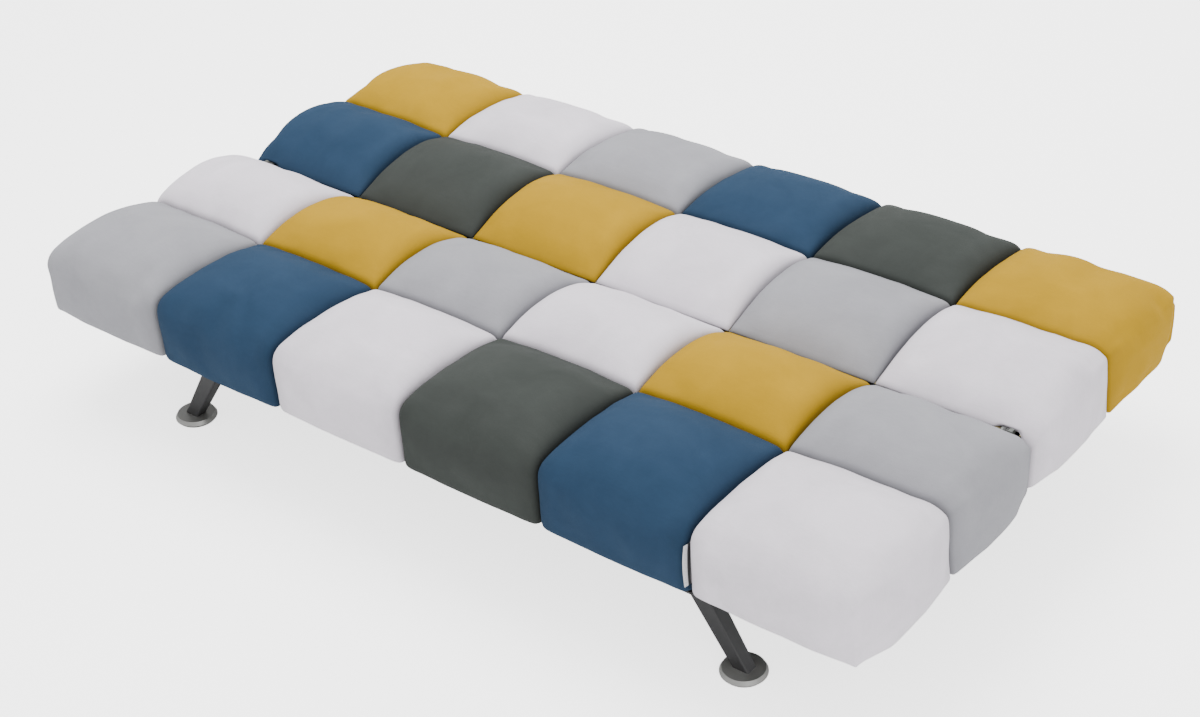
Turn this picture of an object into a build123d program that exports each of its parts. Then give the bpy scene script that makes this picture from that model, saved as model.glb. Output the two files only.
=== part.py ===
from build123d import *

import math
import os

# Sofa bed in millimetres, drawn flat as a bed. X runs along its length, -Y is the front,
# +Z is up, and the origin is on the floor under its centre. The front half is the seat,
# fixed to a steel base with four splayed legs. The rear half is the backrest, which swings
# up about an axis in the valley between the halves. Both halves are a timber frame with
# zigzag springs, felt, foam and twelve crowned patches, six along and two deep.

# Mattress
bed_length = 1800.0  # over the seams, without the swell of the end patches
bed_depth = 1073.0  # over the seams of both halves
columns = 6
leg_height = 200.0  # floor to the underside of both halves
crossing_height = 117.0  # where four patches meet, above the underside
seam_lift = 8.0  # middle of a seam above its crossings
crown_height = 161.0  # highest point of a patch, above the underside
valley_height = 100.0  # lip of the valley between the halves, above the underside
lip_depth = 10.0  # lip to where the inner walls turn upright
valley_width = 16.0  # across the lips
halves_gap = 7.0  # between the upright inner walls
front_swell = 12.0  # a patch's front face past its seams
end_swell = 15.0  # a patch's end face past its seams
end_corner_swell = 3.0  # the same at the upright corners
flap_thick = 22.0  # padded sides of the cover, at the seams
seam_corner_round = 22.0  # top front edge at a seam
crown_corner_round = 48.0  # top front edge in the middle of a patch
end_round = 50.0  # top edge of the end patches
upright_corner_round = 16.0
inner_corner_round = 12.0  # upright corners beside the valley
hem_round = 14.0  # bottom edge of the cover
seam_clear = 0.15  # each patch short of its seam
skin_clear = 0.3  # cover to frame and foam
wall_clear = 0.45  # how far the end outline stays clear of the inner walls

# Backrest positions, in degrees from flat
lounge_angle = 36.0
sofa_angle = 72.0
release_angle = 80.0
straight_down = 270.0  # on the sector, from the rear towards up

# Timber frame of each half
rail_width = 22.0
rail_height = 40.0
brace_height = 26.0
brace_width = 30.0
dust_thick = 1.0
lining_thick = 2.0

# Zigzag springs, felt and foam
spring_count = 7
spring_end_inset = 136.0  # outermost springs from the end rails
spring_bars = 15
bar_length = 20.0  # straight part of each bar
wire_diameter = 3.8
clip_wall = 1.2
clip_clear = 0.1
clip_length = 14.0
clip_tail = 7.0
felt_thick = 4.0
felt_clear = 0.2
felt_edge = 14.0  # felt short of the clips
felt_end = 48.0  # felt short of the frame's ends
foam_top = 90.0  # above the underside

# Steel base
tube_side = 30.0
tube_wall = 2.0
tube_round = 3.0
spacer_thick = 8.0  # between the base and the seat frame
spacer_side = 44.0
front_foot_inset = 83.5  # from the front seams
rear_foot_inset = 206.5  # from the rear seams
side_rail_inset = 350.7  # from the end seams
rail_overhang = 14.0  # side rails past the bolts of the legs
front_cross_inset = 161.5  # from the front seams
seat_bolt_front_inset = 191.5  # from the front seams
seat_bolt_rear_y = -95.0
cap_thick = 3.0
cap_plug = 8.0
cap_clear = 0.1

# Legs and feet
leg_splay = 0.653  # outward run for each millimetre down
leg_top_width = 42.0
leg_top_depth = 31.0
leg_foot_width = 33.0
leg_foot_depth = 25.0
leg_corner = 4.0
leg_inner_corner = 2.75
leg_wall = 2.5
leg_sole = 5.0
leg_plate_length = 88.0
leg_plate_width = 48.0
leg_plate_thick = 4.0
leg_bolt_spacing = 56.0
disc_radius = 40.5
disc_thick = 11.5
disc_round = 3.0
disc_rim = 4.0
stud_radius = 4.0
stud_length = 10.0
glide_thick = 1.5
glide_radius = 36.5
bumper_radius = 15.0
bumper_x = 300.0
bumper_clear = 0.3

# Bolts of the base
bolt_radius = 4.0
bolt_head_radius = 7.0
bolt_head = 5.0
bolt_clear = 0.2
seat_bolt_reach = 22.0  # into the timber
leg_bolt_reach = 12.0  # above the rail's lower face

# Ratchet hinges, one near each end, between the halves
pivot_below_lip = 8.0
hub_radius = 9.0
arm_thick = 4.0
arm_washer = 1.0
washer_radius = 8.0
side_clear = 0.1
run_clear = 0.05
pivot_radius = 5.0
pivot_head_radius = 8.0
pivot_head = 4.0
pivot_nut = 7.0
pivot_nut_across = 17.0
thread_past_nut = 1.0
foot_plate_length = 70.0
foot_plate_height = 31.0
foot_plate_inset = 55.0  # inner end of the arm's foot from the hinge plane
foot_plate_lift = 5.0  # above the frame's underside
knee_inset = 70.0
knee_radius = 12.0
screw_radius = 3.0
screw_head_radius = 5.5
screw_head = 3.0
screw_reach = 18.0
screw_inset = 16.0  # from the ends of the arm's foot
screw_clear = 0.1
sector_radius = 27.0
notch_depth = 5.0
notch_half_angle = 7.0
sector_end_margin = 8.0
sector_run_on = 2.0  # past the release position, in degrees
pawl_y = -34.0
pawl_below_pivot = 38.0
pawl_pin_radius = 3.0
pawl_boss_radius = 9.0
pawl_hub_radius = 5.5
pawl_nose_width = 3.2
pawl_nose_y = 0.8
pawl_nose_clear = 0.4
pawl_tip_y = 1.0
pawl_tip_radius = 3.0
pawl_tip_below = 36.0  # lever's end below the pivot
pawl_head = 2.0
pawl_head_radius = 5.0
pin_past_arm = 1.0
leaf_thick = 0.8
leaf_width = 6.0
leaf_length = 40.0
leaf_clear = 0.4
foam_notch_width = 34.0
foam_notch_depth = 130.0
scoop_clear = 1.5

# Sewn tag on the front, in the seam left of the last patch
tag_width = 16.0
tag_height = 80.0
tag_thick = 1.0
tag_sewn_in = 6.0
tag_low = 18.0  # above the underside
tag_clear = 0.15

# Patch colours from left to right, front row first
row_colours = (
    ("grey", "blue", "light", "dark", "blue", "light"),
    ("light", "yellow", "grey", "light", "yellow", "grey"),
    ("blue", "dark", "yellow", "light", "grey", "light"),
    ("yellow", "light", "grey", "blue", "dark", "yellow"),
)
colour_names = ("grey", "blue", "light", "dark", "yellow")

# Where the lofted sections of a patch stand, as shares of half its width
seam_shares = (1.0, 0.95, 0.8, 0.45)
end_round_shares = (0.0, 0.5, 0.8, 0.95, 1.0)
outer_puff_share = 0.9  # swell kept where the end patches turn down
outer_middle_share = 0.975  # swell halfway from their middle to there
row_peak_share = 0.55  # crown of the front row, from the seam towards the front edge

cut_over = 5.0  # how far a cut runs past what it cuts
diagonal_share = math.cos(math.pi / 4)  # to the middle of a quarter round, as a share of its radius

# Heights above the floor
underside = leg_height
crossing_z = underside + crossing_height
crown_z = underside + crown_height
lip_z = underside + valley_height
wall_z = lip_z - lip_depth
frame_z = underside + dust_thick
rail_top = frame_z + rail_height
foam_top_z = underside + foam_top
pivot_z = lip_z - pivot_below_lip
wire_radius = wire_diameter / 2
spring_z = rail_top + clip_wall + clip_clear + wire_radius
felt_z = spring_z + wire_radius + felt_clear
foam_z = felt_z + felt_thick

# Places along and across
pitch = bed_length / columns
row_depth = bed_depth / 4
seam_y = -row_depth
edge_y = -bed_depth / 2
end_x = bed_length / 2
frame_end = end_x - flap_thick
frame_front = edge_y + flap_thick
wall_y = -halves_gap / 2
frame_inner = wall_y - lining_thick - skin_clear
rail_inside_front = frame_front + rail_width
rail_inside_rear = frame_inner - rail_width
end_rail_inside = frame_end - rail_width
spring_pitch = 2 * (end_rail_inside - spring_end_inset) / (spring_count - 1)
tube_top = underside - spacer_thick
tube_z = tube_top - tube_side
leg_top = tube_z - leg_plate_thick
foot_top = glide_thick + disc_thick
side_rail_x = end_x - side_rail_inset
foot_x = side_rail_x + leg_splay * (leg_top - foot_top)
front_foot_y = edge_y + front_foot_inset
rear_foot_y = -edge_y - rear_foot_inset
front_cross_y = edge_y + front_cross_inset
seat_bolt_front_y = edge_y + seat_bolt_front_inset
foot_low = frame_z + foot_plate_lift
foot_high = foot_low + foot_plate_height
seat_arm_x = end_rail_inside - arm_thick
washer_x = seat_arm_x - side_clear - arm_washer
back_arm_x = washer_x - side_clear - arm_thick
pawl_z = pivot_z - pawl_below_pivot
leaf_x = back_arm_x - side_clear - leaf_width
sector_start_angle = straight_down - release_angle - sector_run_on
notch_start = seat_arm_x - foam_notch_width / 2
notch_end = notch_start + foam_notch_width


def at(x, y, z):
    return Vector(x, y, z)


def box(x0, x1, y0, y1, z0, z1):
    """A box between two corners."""
    centre = Pos((x0 + x1) / 2, (y0 + y1) / 2, (z0 + z1) / 2)
    return centre * Box(x1 - x0, y1 - y0, z1 - z0)


def rod(radius, x0, x1, y, z):
    """A round bar along X."""
    return Pos((x0 + x1) / 2, y, z) * Rot(0, 90, 0) * Cylinder(radius, x1 - x0)


def post(radius, z0, z1, x, y):
    """A round bar along Z."""
    return Pos(x, y, (z0 + z1) / 2) * Cylinder(radius, z1 - z0)


def plate_across(outline, x0, x1):
    """A flat outline in Y and Z, as thick as from x0 to x1."""
    face = Plane(origin=(x0, 0, 0), x_dir=(0, 1, 0), z_dir=(1, 0, 0)) * outline
    return extrude(face, amount=x1 - x0)


def disc_outline(radius, y, z):
    return Pos(y, z) * Circle(radius)


def strap(radius_a, place_a, radius_b, place_b):
    """The outline drawn round two discs, in Y and Z."""
    a = disc_outline(radius_a, *place_a)
    b = disc_outline(radius_b, *place_b)
    return make_hull(a.edges() + b.edges())


def other_half(shape):
    """The same piece on the backrest half."""
    return mirror(shape, about=Plane.XZ)


def other_end(shape):
    """The same piece at the left end."""
    return mirror(shape, about=Plane.YZ)


# Crowned patches


def peak_height(puff):
    """Height of a section's highest point for a swell from 0 at a seam to 1."""
    seam_peak = crossing_z + seam_lift
    return seam_peak + (crown_z - seam_peak) * puff


def front_row_section(x, puff, drop):
    """Section of a front patch across the bed, at x."""
    low = underside
    inner = seam_y - seam_clear
    seam_z = crossing_z + seam_lift * puff - drop
    peak_z = peak_height(puff) - drop
    peak_y = seam_y - row_depth * row_peak_share
    rise = peak_z - seam_z
    half_chord = inner - peak_y
    radius = (half_chord**2 + rise**2) / (2 * rise)
    centre_z = peak_z - radius
    face_y = edge_y - front_swell * puff
    corner = seam_corner_round + (crown_corner_round - seam_corner_round) * puff
    corner_y = face_y + corner
    reach = radius - corner
    corner_z = centre_z + math.sqrt(reach**2 - (corner_y - peak_y) ** 2)
    lean = math.atan2(corner_z - centre_z, corner_y - peak_y)
    turn = (lean + math.pi) / 2
    blend = (peak_y + radius * math.cos(lean), centre_z + radius * math.sin(lean))
    middle = (corner_y + corner * math.cos(turn), corner_z + corner * math.sin(turn))
    hem = (face_y + hem_round * (1 - diagonal_share), low + hem_round * (1 - diagonal_share))
    crown = (peak_y, peak_z)
    return Wire(
        [
            Line(at(x, inner, low), at(x, face_y + hem_round, low)),
            ThreePointArc(
                at(x, face_y + hem_round, low), at(x, *hem), at(x, face_y, low + hem_round)
            ),
            Line(at(x, face_y, low + hem_round), at(x, face_y, corner_z)),
            ThreePointArc(at(x, face_y, corner_z), at(x, *middle), at(x, *blend)),
            ThreePointArc(at(x, *blend), at(x, *crown), at(x, inner, seam_z)),
            Line(at(x, inner, seam_z), at(x, inner, low)),
        ]
    )


def inner_row_section(x, puff, drop):
    """Section of a patch beside the valley, at x."""
    low = underside
    outer = seam_y + seam_clear
    lip_y = -valley_width / 2
    seam_z = crossing_z + seam_lift * puff - drop
    middle_z = peak_height(puff) - drop
    middle_y = (outer + lip_y) / 2
    return Wire(
        [
            Line(at(x, outer, low), at(x, outer, seam_z)),
            ThreePointArc(
                at(x, outer, seam_z), at(x, middle_y, middle_z), at(x, lip_y, lip_z - drop)
            ),
            Line(at(x, lip_y, lip_z - drop), at(x, wall_y, wall_z - drop)),
            Line(at(x, wall_y, wall_z - drop), at(x, wall_y, low)),
            Line(at(x, wall_y, low), at(x, outer, low)),
        ]
    )


def round_swell(share):
    """Swell at a share of the half width from the middle: a circle's rise."""
    return math.sqrt(1 - share**2)


def middle_patch(section):
    """A patch between two others, its left seam at x = 0."""
    half = pitch / 2
    wires = []
    for share in seam_shares:
        x = half - (half - seam_clear) * share
        wires.append(section(x, round_swell(share), 0))
    wires.append(section(half, 1, 0))
    for share in reversed(seam_shares):
        x = half + (half - seam_clear) * share
        wires.append(section(x, round_swell(share), 0))
    return Solid.make_loft(wires)


def end_patch(section):
    """A patch at the right end, before its end is shaped in plan."""
    middle = end_x - pitch / 2
    turn_x = end_x + end_swell - end_round
    wires = []
    for share in seam_shares:
        x = middle - (pitch / 2 - seam_clear) * share
        wires.append(section(x, round_swell(share), 0))
    wires.append(section(middle, 1, 0))
    wires.append(section((middle + turn_x) / 2, outer_middle_share, 0))
    for share in end_round_shares:
        drop = end_round * (1 - round_swell(share))
        wires.append(section(turn_x + end_round * share, outer_puff_share, drop))
    return Solid.make_loft(wires)


def front_end_plan():
    """Outline in plan of the front patch at the right end."""
    inner = end_x - pitch
    outer = edge_y - front_swell
    corner_x = end_x + end_corner_swell
    corner_y = outer + upright_corner_round
    round_x = corner_x - upright_corner_round
    turn = (
        round_x + upright_corner_round * diagonal_share,
        corner_y - upright_corner_round * diagonal_share,
    )
    far = outer - cut_over
    return make_face(
        [
            Line((inner, seam_y), (end_x, seam_y)),
            ThreePointArc(
                (end_x, seam_y),
                (end_x + end_swell, (seam_y + corner_y) / 2),
                (corner_x, corner_y),
            ),
            ThreePointArc((corner_x, corner_y), turn, (round_x, outer)),
            Line((round_x, outer), (round_x, far)),
            Line((round_x, far), (inner, far)),
            Line((inner, far), (inner, seam_y)),
        ]
    )


def inner_end_plan():
    """Outline in plan of the valley patch at the right end."""
    inner = end_x - pitch
    corner_x = end_x + end_corner_swell
    radius = inner_corner_round
    wall = wall_y + wall_clear
    corner_y = wall - radius
    round_x = corner_x - radius
    turn = (round_x + radius * diagonal_share, corner_y + radius * diagonal_share)
    return make_face(
        [
            Line((inner, seam_y), (end_x, seam_y)),
            ThreePointArc(
                (end_x, seam_y),
                (end_x + end_swell, (seam_y + corner_y) / 2),
                (corner_x, corner_y),
            ),
            ThreePointArc((corner_x, corner_y), turn, (round_x, wall)),
            Line((round_x, wall), (round_x, 0)),
            Line((round_x, 0), (inner, 0)),
            Line((inner, 0), (inner, seam_y)),
        ]
    )


def cover_core():
    """The space inside the cover, filled by the frame, the springs and the foam."""
    return box(
        -frame_end - skin_clear,
        frame_end + skin_clear,
        frame_front - skin_clear,
        cut_over,
        underside - cut_over,
        foam_top_z + skin_clear,
    )


def in_plan(shape, plan):
    """What of a shape lies inside an outline in plan."""
    column = Pos(0, 0, underside - cut_over) * plan
    return shape & extrude(column, amount=crown_height + 2 * cut_over)


def hinge_scoops():
    """Room over the hinges, on the underside of the patches beside the valley."""
    outline = strap(
        hub_radius + scoop_clear,
        (0, pivot_z),
        knee_radius + scoop_clear,
        (-knee_inset, foot_high),
    )
    right = plate_across(outline, notch_start, notch_end)
    return right + other_end(right)


def patch_shapes():
    """The four shapes that the cover's patches have, front row and valley row."""
    core = cover_core()
    front_end = in_plan(end_patch(front_row_section), front_end_plan())
    inner_end = in_plan(end_patch(inner_row_section), inner_end_plan())
    return {
        "front": middle_patch(front_row_section) - core,
        "inner": middle_patch(inner_row_section) - core,
        "front_end": front_end - core,
        "inner_end": inner_end - core - hinge_scoops(),
    }


def row_of_patches(middle, right_end):
    """One row's patches from left to right."""
    row = [other_end(right_end)]
    for column in range(1, columns - 1):
        row.append(Pos(column * pitch - end_x, 0, 0) * middle)
    row.append(right_end)
    return row


def by_colour(rows, colours):
    """The patches of some rows, gathered by the colour of their cloth."""
    cut_from = {name: [] for name in colour_names}
    for row, names in zip(rows, colours):
        for patch, name in zip(row, names):
            cut_from[name].append(patch)
    return cut_from


# Sewn tag


def tag_box(clear):
    """The tag's space, grown by a clearance."""
    x = end_x - pitch + seam_clear + tag_clear
    back = edge_y + tag_sewn_in
    low = underside + tag_low
    return box(
        x - clear,
        x + tag_thick + clear,
        back - tag_width,
        back + clear,
        low - clear,
        low + tag_height + clear,
    )


# Timber frame, springs, felt and foam of the seat half


def screw_places():
    """Y of the two screws in an arm's foot, on the seat half."""
    near = -foot_plate_inset - screw_inset
    far = -foot_plate_inset - foot_plate_length + screw_inset
    return near, far


def screw_z():
    return frame_z + foot_plate_lift + foot_plate_height / 2


def frame_front_rail():
    return box(-frame_end, frame_end, frame_front, rail_inside_front, frame_z, rail_top)


def frame_rear_rail():
    return box(-frame_end, frame_end, rail_inside_rear, frame_inner, frame_z, rail_top)


def frame_end_rail():
    """The right end rail, drilled for the hinge arm's screws."""
    rail = box(
        end_rail_inside, frame_end, rail_inside_front, rail_inside_rear, frame_z, rail_top
    )
    deep = end_rail_inside + screw_reach + screw_clear
    for y in screw_places():
        rail -= rod(screw_radius + screw_clear, end_rail_inside - cut_over, deep, y, screw_z())
    return rail


def frame_brace(x):
    """A cross brace between the front and rear rails."""
    return box(
        x - brace_width / 2,
        x + brace_width / 2,
        rail_inside_front,
        rail_inside_rear,
        frame_z,
        frame_z + brace_height,
    )


def seat_bolt_places():
    """Where the bolts come up through the base into the seat frame."""
    return [
        (x, y) for x in (-side_rail_x, side_rail_x) for y in (seat_bolt_front_y, seat_bolt_rear_y)
    ]


def drilled_for_seat_bolts(shape, z0, z1):
    for x, y in seat_bolt_places():
        shape -= post(bolt_radius + bolt_clear, z0, z1, x, y)
    return shape


def dust_cover():
    """Thin cloth under a half, held by the hem of the cover all round."""
    return box(
        -frame_end, frame_end, frame_front, frame_inner, underside, underside + dust_thick
    )


def spring_places():
    first = -(spring_count - 1) / 2
    return [(first + i) * spring_pitch for i in range(spring_count)]


spring_front_y = frame_front + rail_width / 2
spring_rear_y = frame_inner - rail_width / 2
bar_step = (spring_rear_y - spring_front_y) / (spring_bars - 1)


def zigzag_spring():
    """One spring at x = 0: bars along X joined by half circles."""
    edges = []
    side = -1
    for i in range(spring_bars):
        y = spring_front_y + i * bar_step
        start = at(side * bar_length / 2, y, spring_z)
        side = -side
        end = at(side * bar_length / 2, y, spring_z)
        edges.append(Line(start, end))
        if i < spring_bars - 1:
            turn = at(side * (bar_length + bar_step) / 2, y + bar_step / 2, spring_z)
            edges.append(ThreePointArc(end, turn, end + at(0, bar_step, 0)))
    path = Wire(edges)
    return sweep((path ^ 0) * Circle(wire_radius), path=path)


def spring_clip(y, outward):
    """A clip round a spring's end bar, with a tail along the rail, at x = 0."""
    ring = Circle(wire_radius + clip_clear + clip_wall)
    tail = Pos(outward * clip_tail / 2, -wire_radius - clip_clear - clip_wall / 2)
    outline = ring + tail * Rectangle(clip_tail, clip_wall)
    outline -= Circle(wire_radius + clip_clear)
    half = clip_length / 2
    return plate_across(Pos(y, spring_z) * outline, -half, half)


def felt_pad():
    return box(
        -frame_end + felt_end,
        frame_end - felt_end,
        spring_front_y + felt_edge,
        spring_rear_y - felt_edge,
        felt_z,
        foam_z,
    )


def hinge_notches(y_far, z_low):
    """Room for both hinges beside the valley, back to y_far."""
    right = box(notch_start, notch_end, y_far, cut_over, z_low, crown_z)
    return right + other_end(right)


def foam_block():
    block = box(-frame_end, frame_end, frame_front, frame_inner, foam_z, foam_top_z)
    return block - hinge_notches(-foam_notch_depth, foam_z - cut_over)


def inner_lining():
    """Plain cloth over the half's upright inner wall."""
    lining = box(
        -frame_end,
        frame_end,
        wall_y - lining_thick,
        wall_y,
        underside,
        foam_top_z,
    )
    return lining - hinge_notches(-foam_notch_depth, rail_top)


def half_inside():
    """What both halves hold, drawn for the seat half, keyed by piece."""
    spring = zigzag_spring()
    clips = [spring_clip(spring_front_y, -1), spring_clip(spring_rear_y, 1)]
    return {
        "outer_rail": [frame_front_rail()],
        "inner_rail": [frame_rear_rail()],
        "end_rails": [frame_end_rail(), other_end(frame_end_rail())],
        "springs": [Pos(x, 0, 0) * spring for x in spring_places()],
        "spring_clips": [Pos(x, 0, 0) * clip for x in spring_places() for clip in clips],
        "spring_felt": [felt_pad()],
        "foam": [foam_block()],
        "inner_lining": [inner_lining()],
    }


# Steel base


def square_tube(length):
    """A square tube along Z, centred."""
    inside = tube_side - 2 * tube_wall
    face = RectangleRounded(tube_side, tube_side, tube_round)
    face -= RectangleRounded(inside, inside, tube_round - tube_wall)
    return Pos(0, 0, -length / 2) * extrude(face, amount=length)


def side_rail(side):
    """A base rail along Y, drilled for the seat bolts and the leg bolts."""
    front = front_foot_y - rail_overhang - leg_bolt_spacing / 2
    rear = rear_foot_y + rail_overhang + leg_bolt_spacing / 2
    middle_z = tube_z + tube_side / 2
    rail = Rot(90, 0, 0) * square_tube(rear - front)
    rail = Pos(side * side_rail_x, (front + rear) / 2, middle_z) * rail
    rail = drilled_for_seat_bolts(rail, tube_z - cut_over, tube_top + cut_over)
    for x, y in leg_bolt_places():
        low = tube_z - cut_over
        rail -= post(bolt_radius + bolt_clear, low, middle_z, x, y)
    return rail


def cross_rail(y):
    """A base rail along X, welded between the side rails."""
    length = 2 * side_rail_x - tube_side
    return Pos(0, y, tube_z + tube_side / 2) * Rot(0, 90, 0) * square_tube(length)


def end_cap(side, end):
    """A plastic plug in a side rail's end; end is -1 in front and 1 behind."""
    front = front_foot_y - rail_overhang - leg_bolt_spacing / 2
    rear = rear_foot_y + rail_overhang + leg_bolt_spacing / 2
    y = front if end < 0 else rear
    inside = tube_side / 2 - tube_wall - cap_clear
    x = side * side_rail_x
    z = tube_z + tube_side / 2
    half = tube_side / 2
    lid = box(x - half, x + half, *sorted((y, y + end * cap_thick)), tube_z, tube_top)
    plug = RectangleRounded(2 * inside, 2 * inside, tube_round - tube_wall)
    plug = Pos(x, y, z) * Rot(90 * end, 0, 0) * extrude(plug, amount=cap_plug)
    return lid + plug


def spacer(x, y):
    """A steel pad between a side rail and the seat frame."""
    half = spacer_side / 2
    pad = box(x - half, x + half, y - half, y + half, tube_top, underside)
    return drilled_for_seat_bolts(pad, tube_top - cut_over, underside + cut_over)


def leg_places():
    return [
        (side, y) for side in (-1, 1) for y in (front_foot_y, rear_foot_y)
    ]


def leg_bolt_places():
    half = leg_bolt_spacing / 2
    return [
        (side * side_rail_x, y + shift) for side, y in leg_places() for shift in (-half, half)
    ]


def bolt(x, y, seat, top):
    """A hexagon bolt from below: seat is under its head, top its end."""
    head = extrude(RegularPolygon(bolt_head_radius, 6), amount=bolt_head)
    return Pos(x, y, seat - bolt_head) * head + post(bolt_radius, seat, top, x, y)


def leg(side, y):
    """A tapered square leg, splayed outwards, closed at the foot."""
    x_top = side_rail_x * side
    x_low = foot_x * side
    lean = side * leg_splay

    def section(z, thinner, corner):
        share = (z - foot_top) / (leg_top - foot_top)
        width = leg_foot_width + (leg_top_width - leg_foot_width) * share
        depth = leg_foot_depth + (leg_top_depth - leg_foot_depth) * share
        x = x_low - lean * (z - foot_top)
        face = RectangleRounded(width - 2 * thinner, depth - 2 * thinner, corner)
        return Pos(x, y, z) * face

    outside = loft([section(foot_top, 0, leg_corner), section(leg_top, 0, leg_corner)])
    sole = section(foot_top + leg_sole, leg_wall, leg_inner_corner)
    hollow = loft([sole, section(leg_top, leg_wall, leg_inner_corner)])
    bore = post(stud_radius + bolt_clear, foot_top - cut_over, foot_top + stud_length, x_low, y)
    return outside - hollow - bore


def leg_plate(side, y):
    """The plate welded on a leg's top, bolted under the side rail."""
    x = side * side_rail_x
    half_x = leg_plate_width / 2
    half_y = leg_plate_length / 2
    plate = box(x - half_x, x + half_x, y - half_y, y + half_y, leg_top, tube_z)
    for bolt_x, bolt_y in leg_bolt_places():
        plate -= post(
            bolt_radius + bolt_clear, leg_top - cut_over, tube_z + cut_over, bolt_x, bolt_y
        )
    return plate


def foot_disc(side, y):
    """A round metal foot with the stud that goes into its leg."""
    bottom = glide_thick
    outline = make_face(
        Polyline(
            (0, bottom),
            (disc_radius - disc_round, bottom),
            (disc_radius, bottom + disc_round),
            (disc_radius, foot_top - disc_rim - disc_round),
            (disc_radius - disc_rim, foot_top),
            (stud_radius, foot_top),
            (stud_radius, foot_top + stud_length - run_clear),
            (0, foot_top + stud_length - run_clear),
            close=True,
        )
    )
    turned = revolve(Plane.XZ * outline, axis=Axis.Z)
    return Pos(side * foot_x, y, 0) * turned


def glide(side, y):
    return post(glide_radius, 0, glide_thick, side * foot_x, y)


def bumper(x):
    return post(bumper_radius, tube_top, underside - bumper_clear, x, rear_foot_y)


def base_pieces():
    """The steel base, keyed by node name."""
    bolts = []
    for x, y in seat_bolt_places():
        bolts.append(bolt(x, y, tube_z, frame_z + seat_bolt_reach))
    for x, y in leg_bolt_places():
        bolts.append(bolt(x, y, leg_top, tube_z + leg_bolt_reach))
    caps = [end_cap(side, end) for side in (-1, 1) for end in (-1, 1)]
    ends = {-1: "left", 1: "right"}
    places = {front_foot_y: "front", rear_foot_y: "rear"}
    pieces = {
        "base_side_rail_left": [side_rail(-1)],
        "base_side_rail_right": [side_rail(1)],
        "base_cross_rail_front": [cross_rail(front_cross_y)],
        "base_cross_rail_rear": [cross_rail(rear_foot_y)],
        "base_end_caps": caps,
        "base_spacers": [spacer(x, y) for x, y in seat_bolt_places()],
        "base_bolts": bolts,
        "leg_plates": [leg_plate(side, y) for side, y in leg_places()],
        "foot_discs": [foot_disc(side, y) for side, y in leg_places()],
        "foot_glides": [glide(side, y) for side, y in leg_places()],
        "backrest_bumpers": [bumper(x) for x in (-bumper_x, bumper_x)],
    }
    for side, y in leg_places():
        pieces["leg_" + places[y] + "_" + ends[side]] = [leg(side, y)]
    return pieces


# Ratchet hinges, drawn at the right end


def arm_outline():
    """An arm on the seat side: foot on the end rail, knee, and hub at the axis."""
    knee = (-knee_inset, foot_high)
    middle_y = -foot_plate_inset - foot_plate_length / 2
    middle_z = (foot_low + foot_high) / 2
    foot = Pos(middle_y, middle_z) * Rectangle(foot_plate_length, foot_plate_height)
    return strap(hub_radius, (0, pivot_z), knee_radius, knee) + foot


def arm_holes(radius, x0, x1):
    """Bores for an arm's screws, on the seat side."""
    near, far = screw_places()
    return rod(radius, x0, x1, near, screw_z()) + rod(radius, x0, x1, far, screw_z())


def seat_arm():
    """The fixed arm, which also carries the pawl's pin."""
    boss = strap(
        pawl_boss_radius, (pawl_y, pawl_z), knee_radius, (-knee_inset, foot_high)
    )
    arm = plate_across(arm_outline() + boss, seat_arm_x, end_rail_inside)
    start = seat_arm_x - cut_over
    stop = end_rail_inside + cut_over
    arm -= rod(pivot_radius + run_clear, start, stop, 0, pivot_z)
    arm -= rod(pawl_pin_radius + run_clear, start, stop, pawl_y, pawl_z)
    return arm - arm_holes(screw_radius + screw_clear, start, stop)


def wedge(radius, start, stop):
    """A slice of a disc about the hinge axis, between two angles at most 90 apart."""
    far = 2 * radius
    first = math.radians(start)
    last = math.radians(stop)
    points = Polyline(
        (0, 0),
        (far * math.cos(first), far * math.sin(first)),
        (far * math.cos(last), far * math.sin(last)),
        close=True,
    )
    return Circle(radius) & make_face(points)


def sector_outline():
    """The toothed sector: notches for bed and lounge, and a stop for the sofa."""
    over = sector_radius + cut_over
    deep = Circle(sector_radius - notch_depth)
    sector = wedge(sector_radius, sector_start_angle, straight_down + sector_end_margin)
    for position in (0, lounge_angle):
        start = straight_down - position - notch_half_angle
        sector -= wedge(over, start, start + 2 * notch_half_angle) - deep
    start = sector_start_angle - notch_half_angle
    sector -= wedge(over, start, straight_down - sofa_angle + notch_half_angle) - deep
    return Pos(0, pivot_z) * sector


def back_arm():
    """The backrest's arm with the sector, its foot thick enough to reach the end rail."""
    outline = mirror(arm_outline(), about=Plane.YZ)
    arm = plate_across(outline + sector_outline(), back_arm_x, back_arm_x + arm_thick)
    foot_y = foot_plate_inset
    pad = box(
        back_arm_x,
        end_rail_inside,
        foot_y,
        foot_y + foot_plate_length,
        foot_low,
        foot_high,
    )
    start = back_arm_x - cut_over
    stop = end_rail_inside + cut_over
    arm += pad
    arm -= rod(pivot_radius + run_clear, start, stop, 0, pivot_z)
    return arm - other_half(arm_holes(screw_radius + screw_clear, start, stop))


def pivot_bolt():
    head_x = back_arm_x - side_clear - pivot_head
    end = end_rail_inside + side_clear + pivot_nut + thread_past_nut
    head = rod(pivot_head_radius, head_x, head_x + pivot_head, 0, pivot_z)
    return head + rod(pivot_radius, head_x, end, 0, pivot_z)


def pivot_nut_piece():
    x = end_rail_inside + side_clear
    outline = RegularPolygon(pivot_nut_across / 2, 6, major_radius=False)
    outline -= Circle(pivot_radius + run_clear)
    return plate_across(Pos(0, pivot_z) * outline, x, x + pivot_nut)


def pivot_washer():
    ring = disc_outline(washer_radius, 0, pivot_z)
    ring -= disc_outline(pivot_radius + run_clear, 0, pivot_z)
    return plate_across(ring, washer_x, washer_x + arm_washer)


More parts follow.
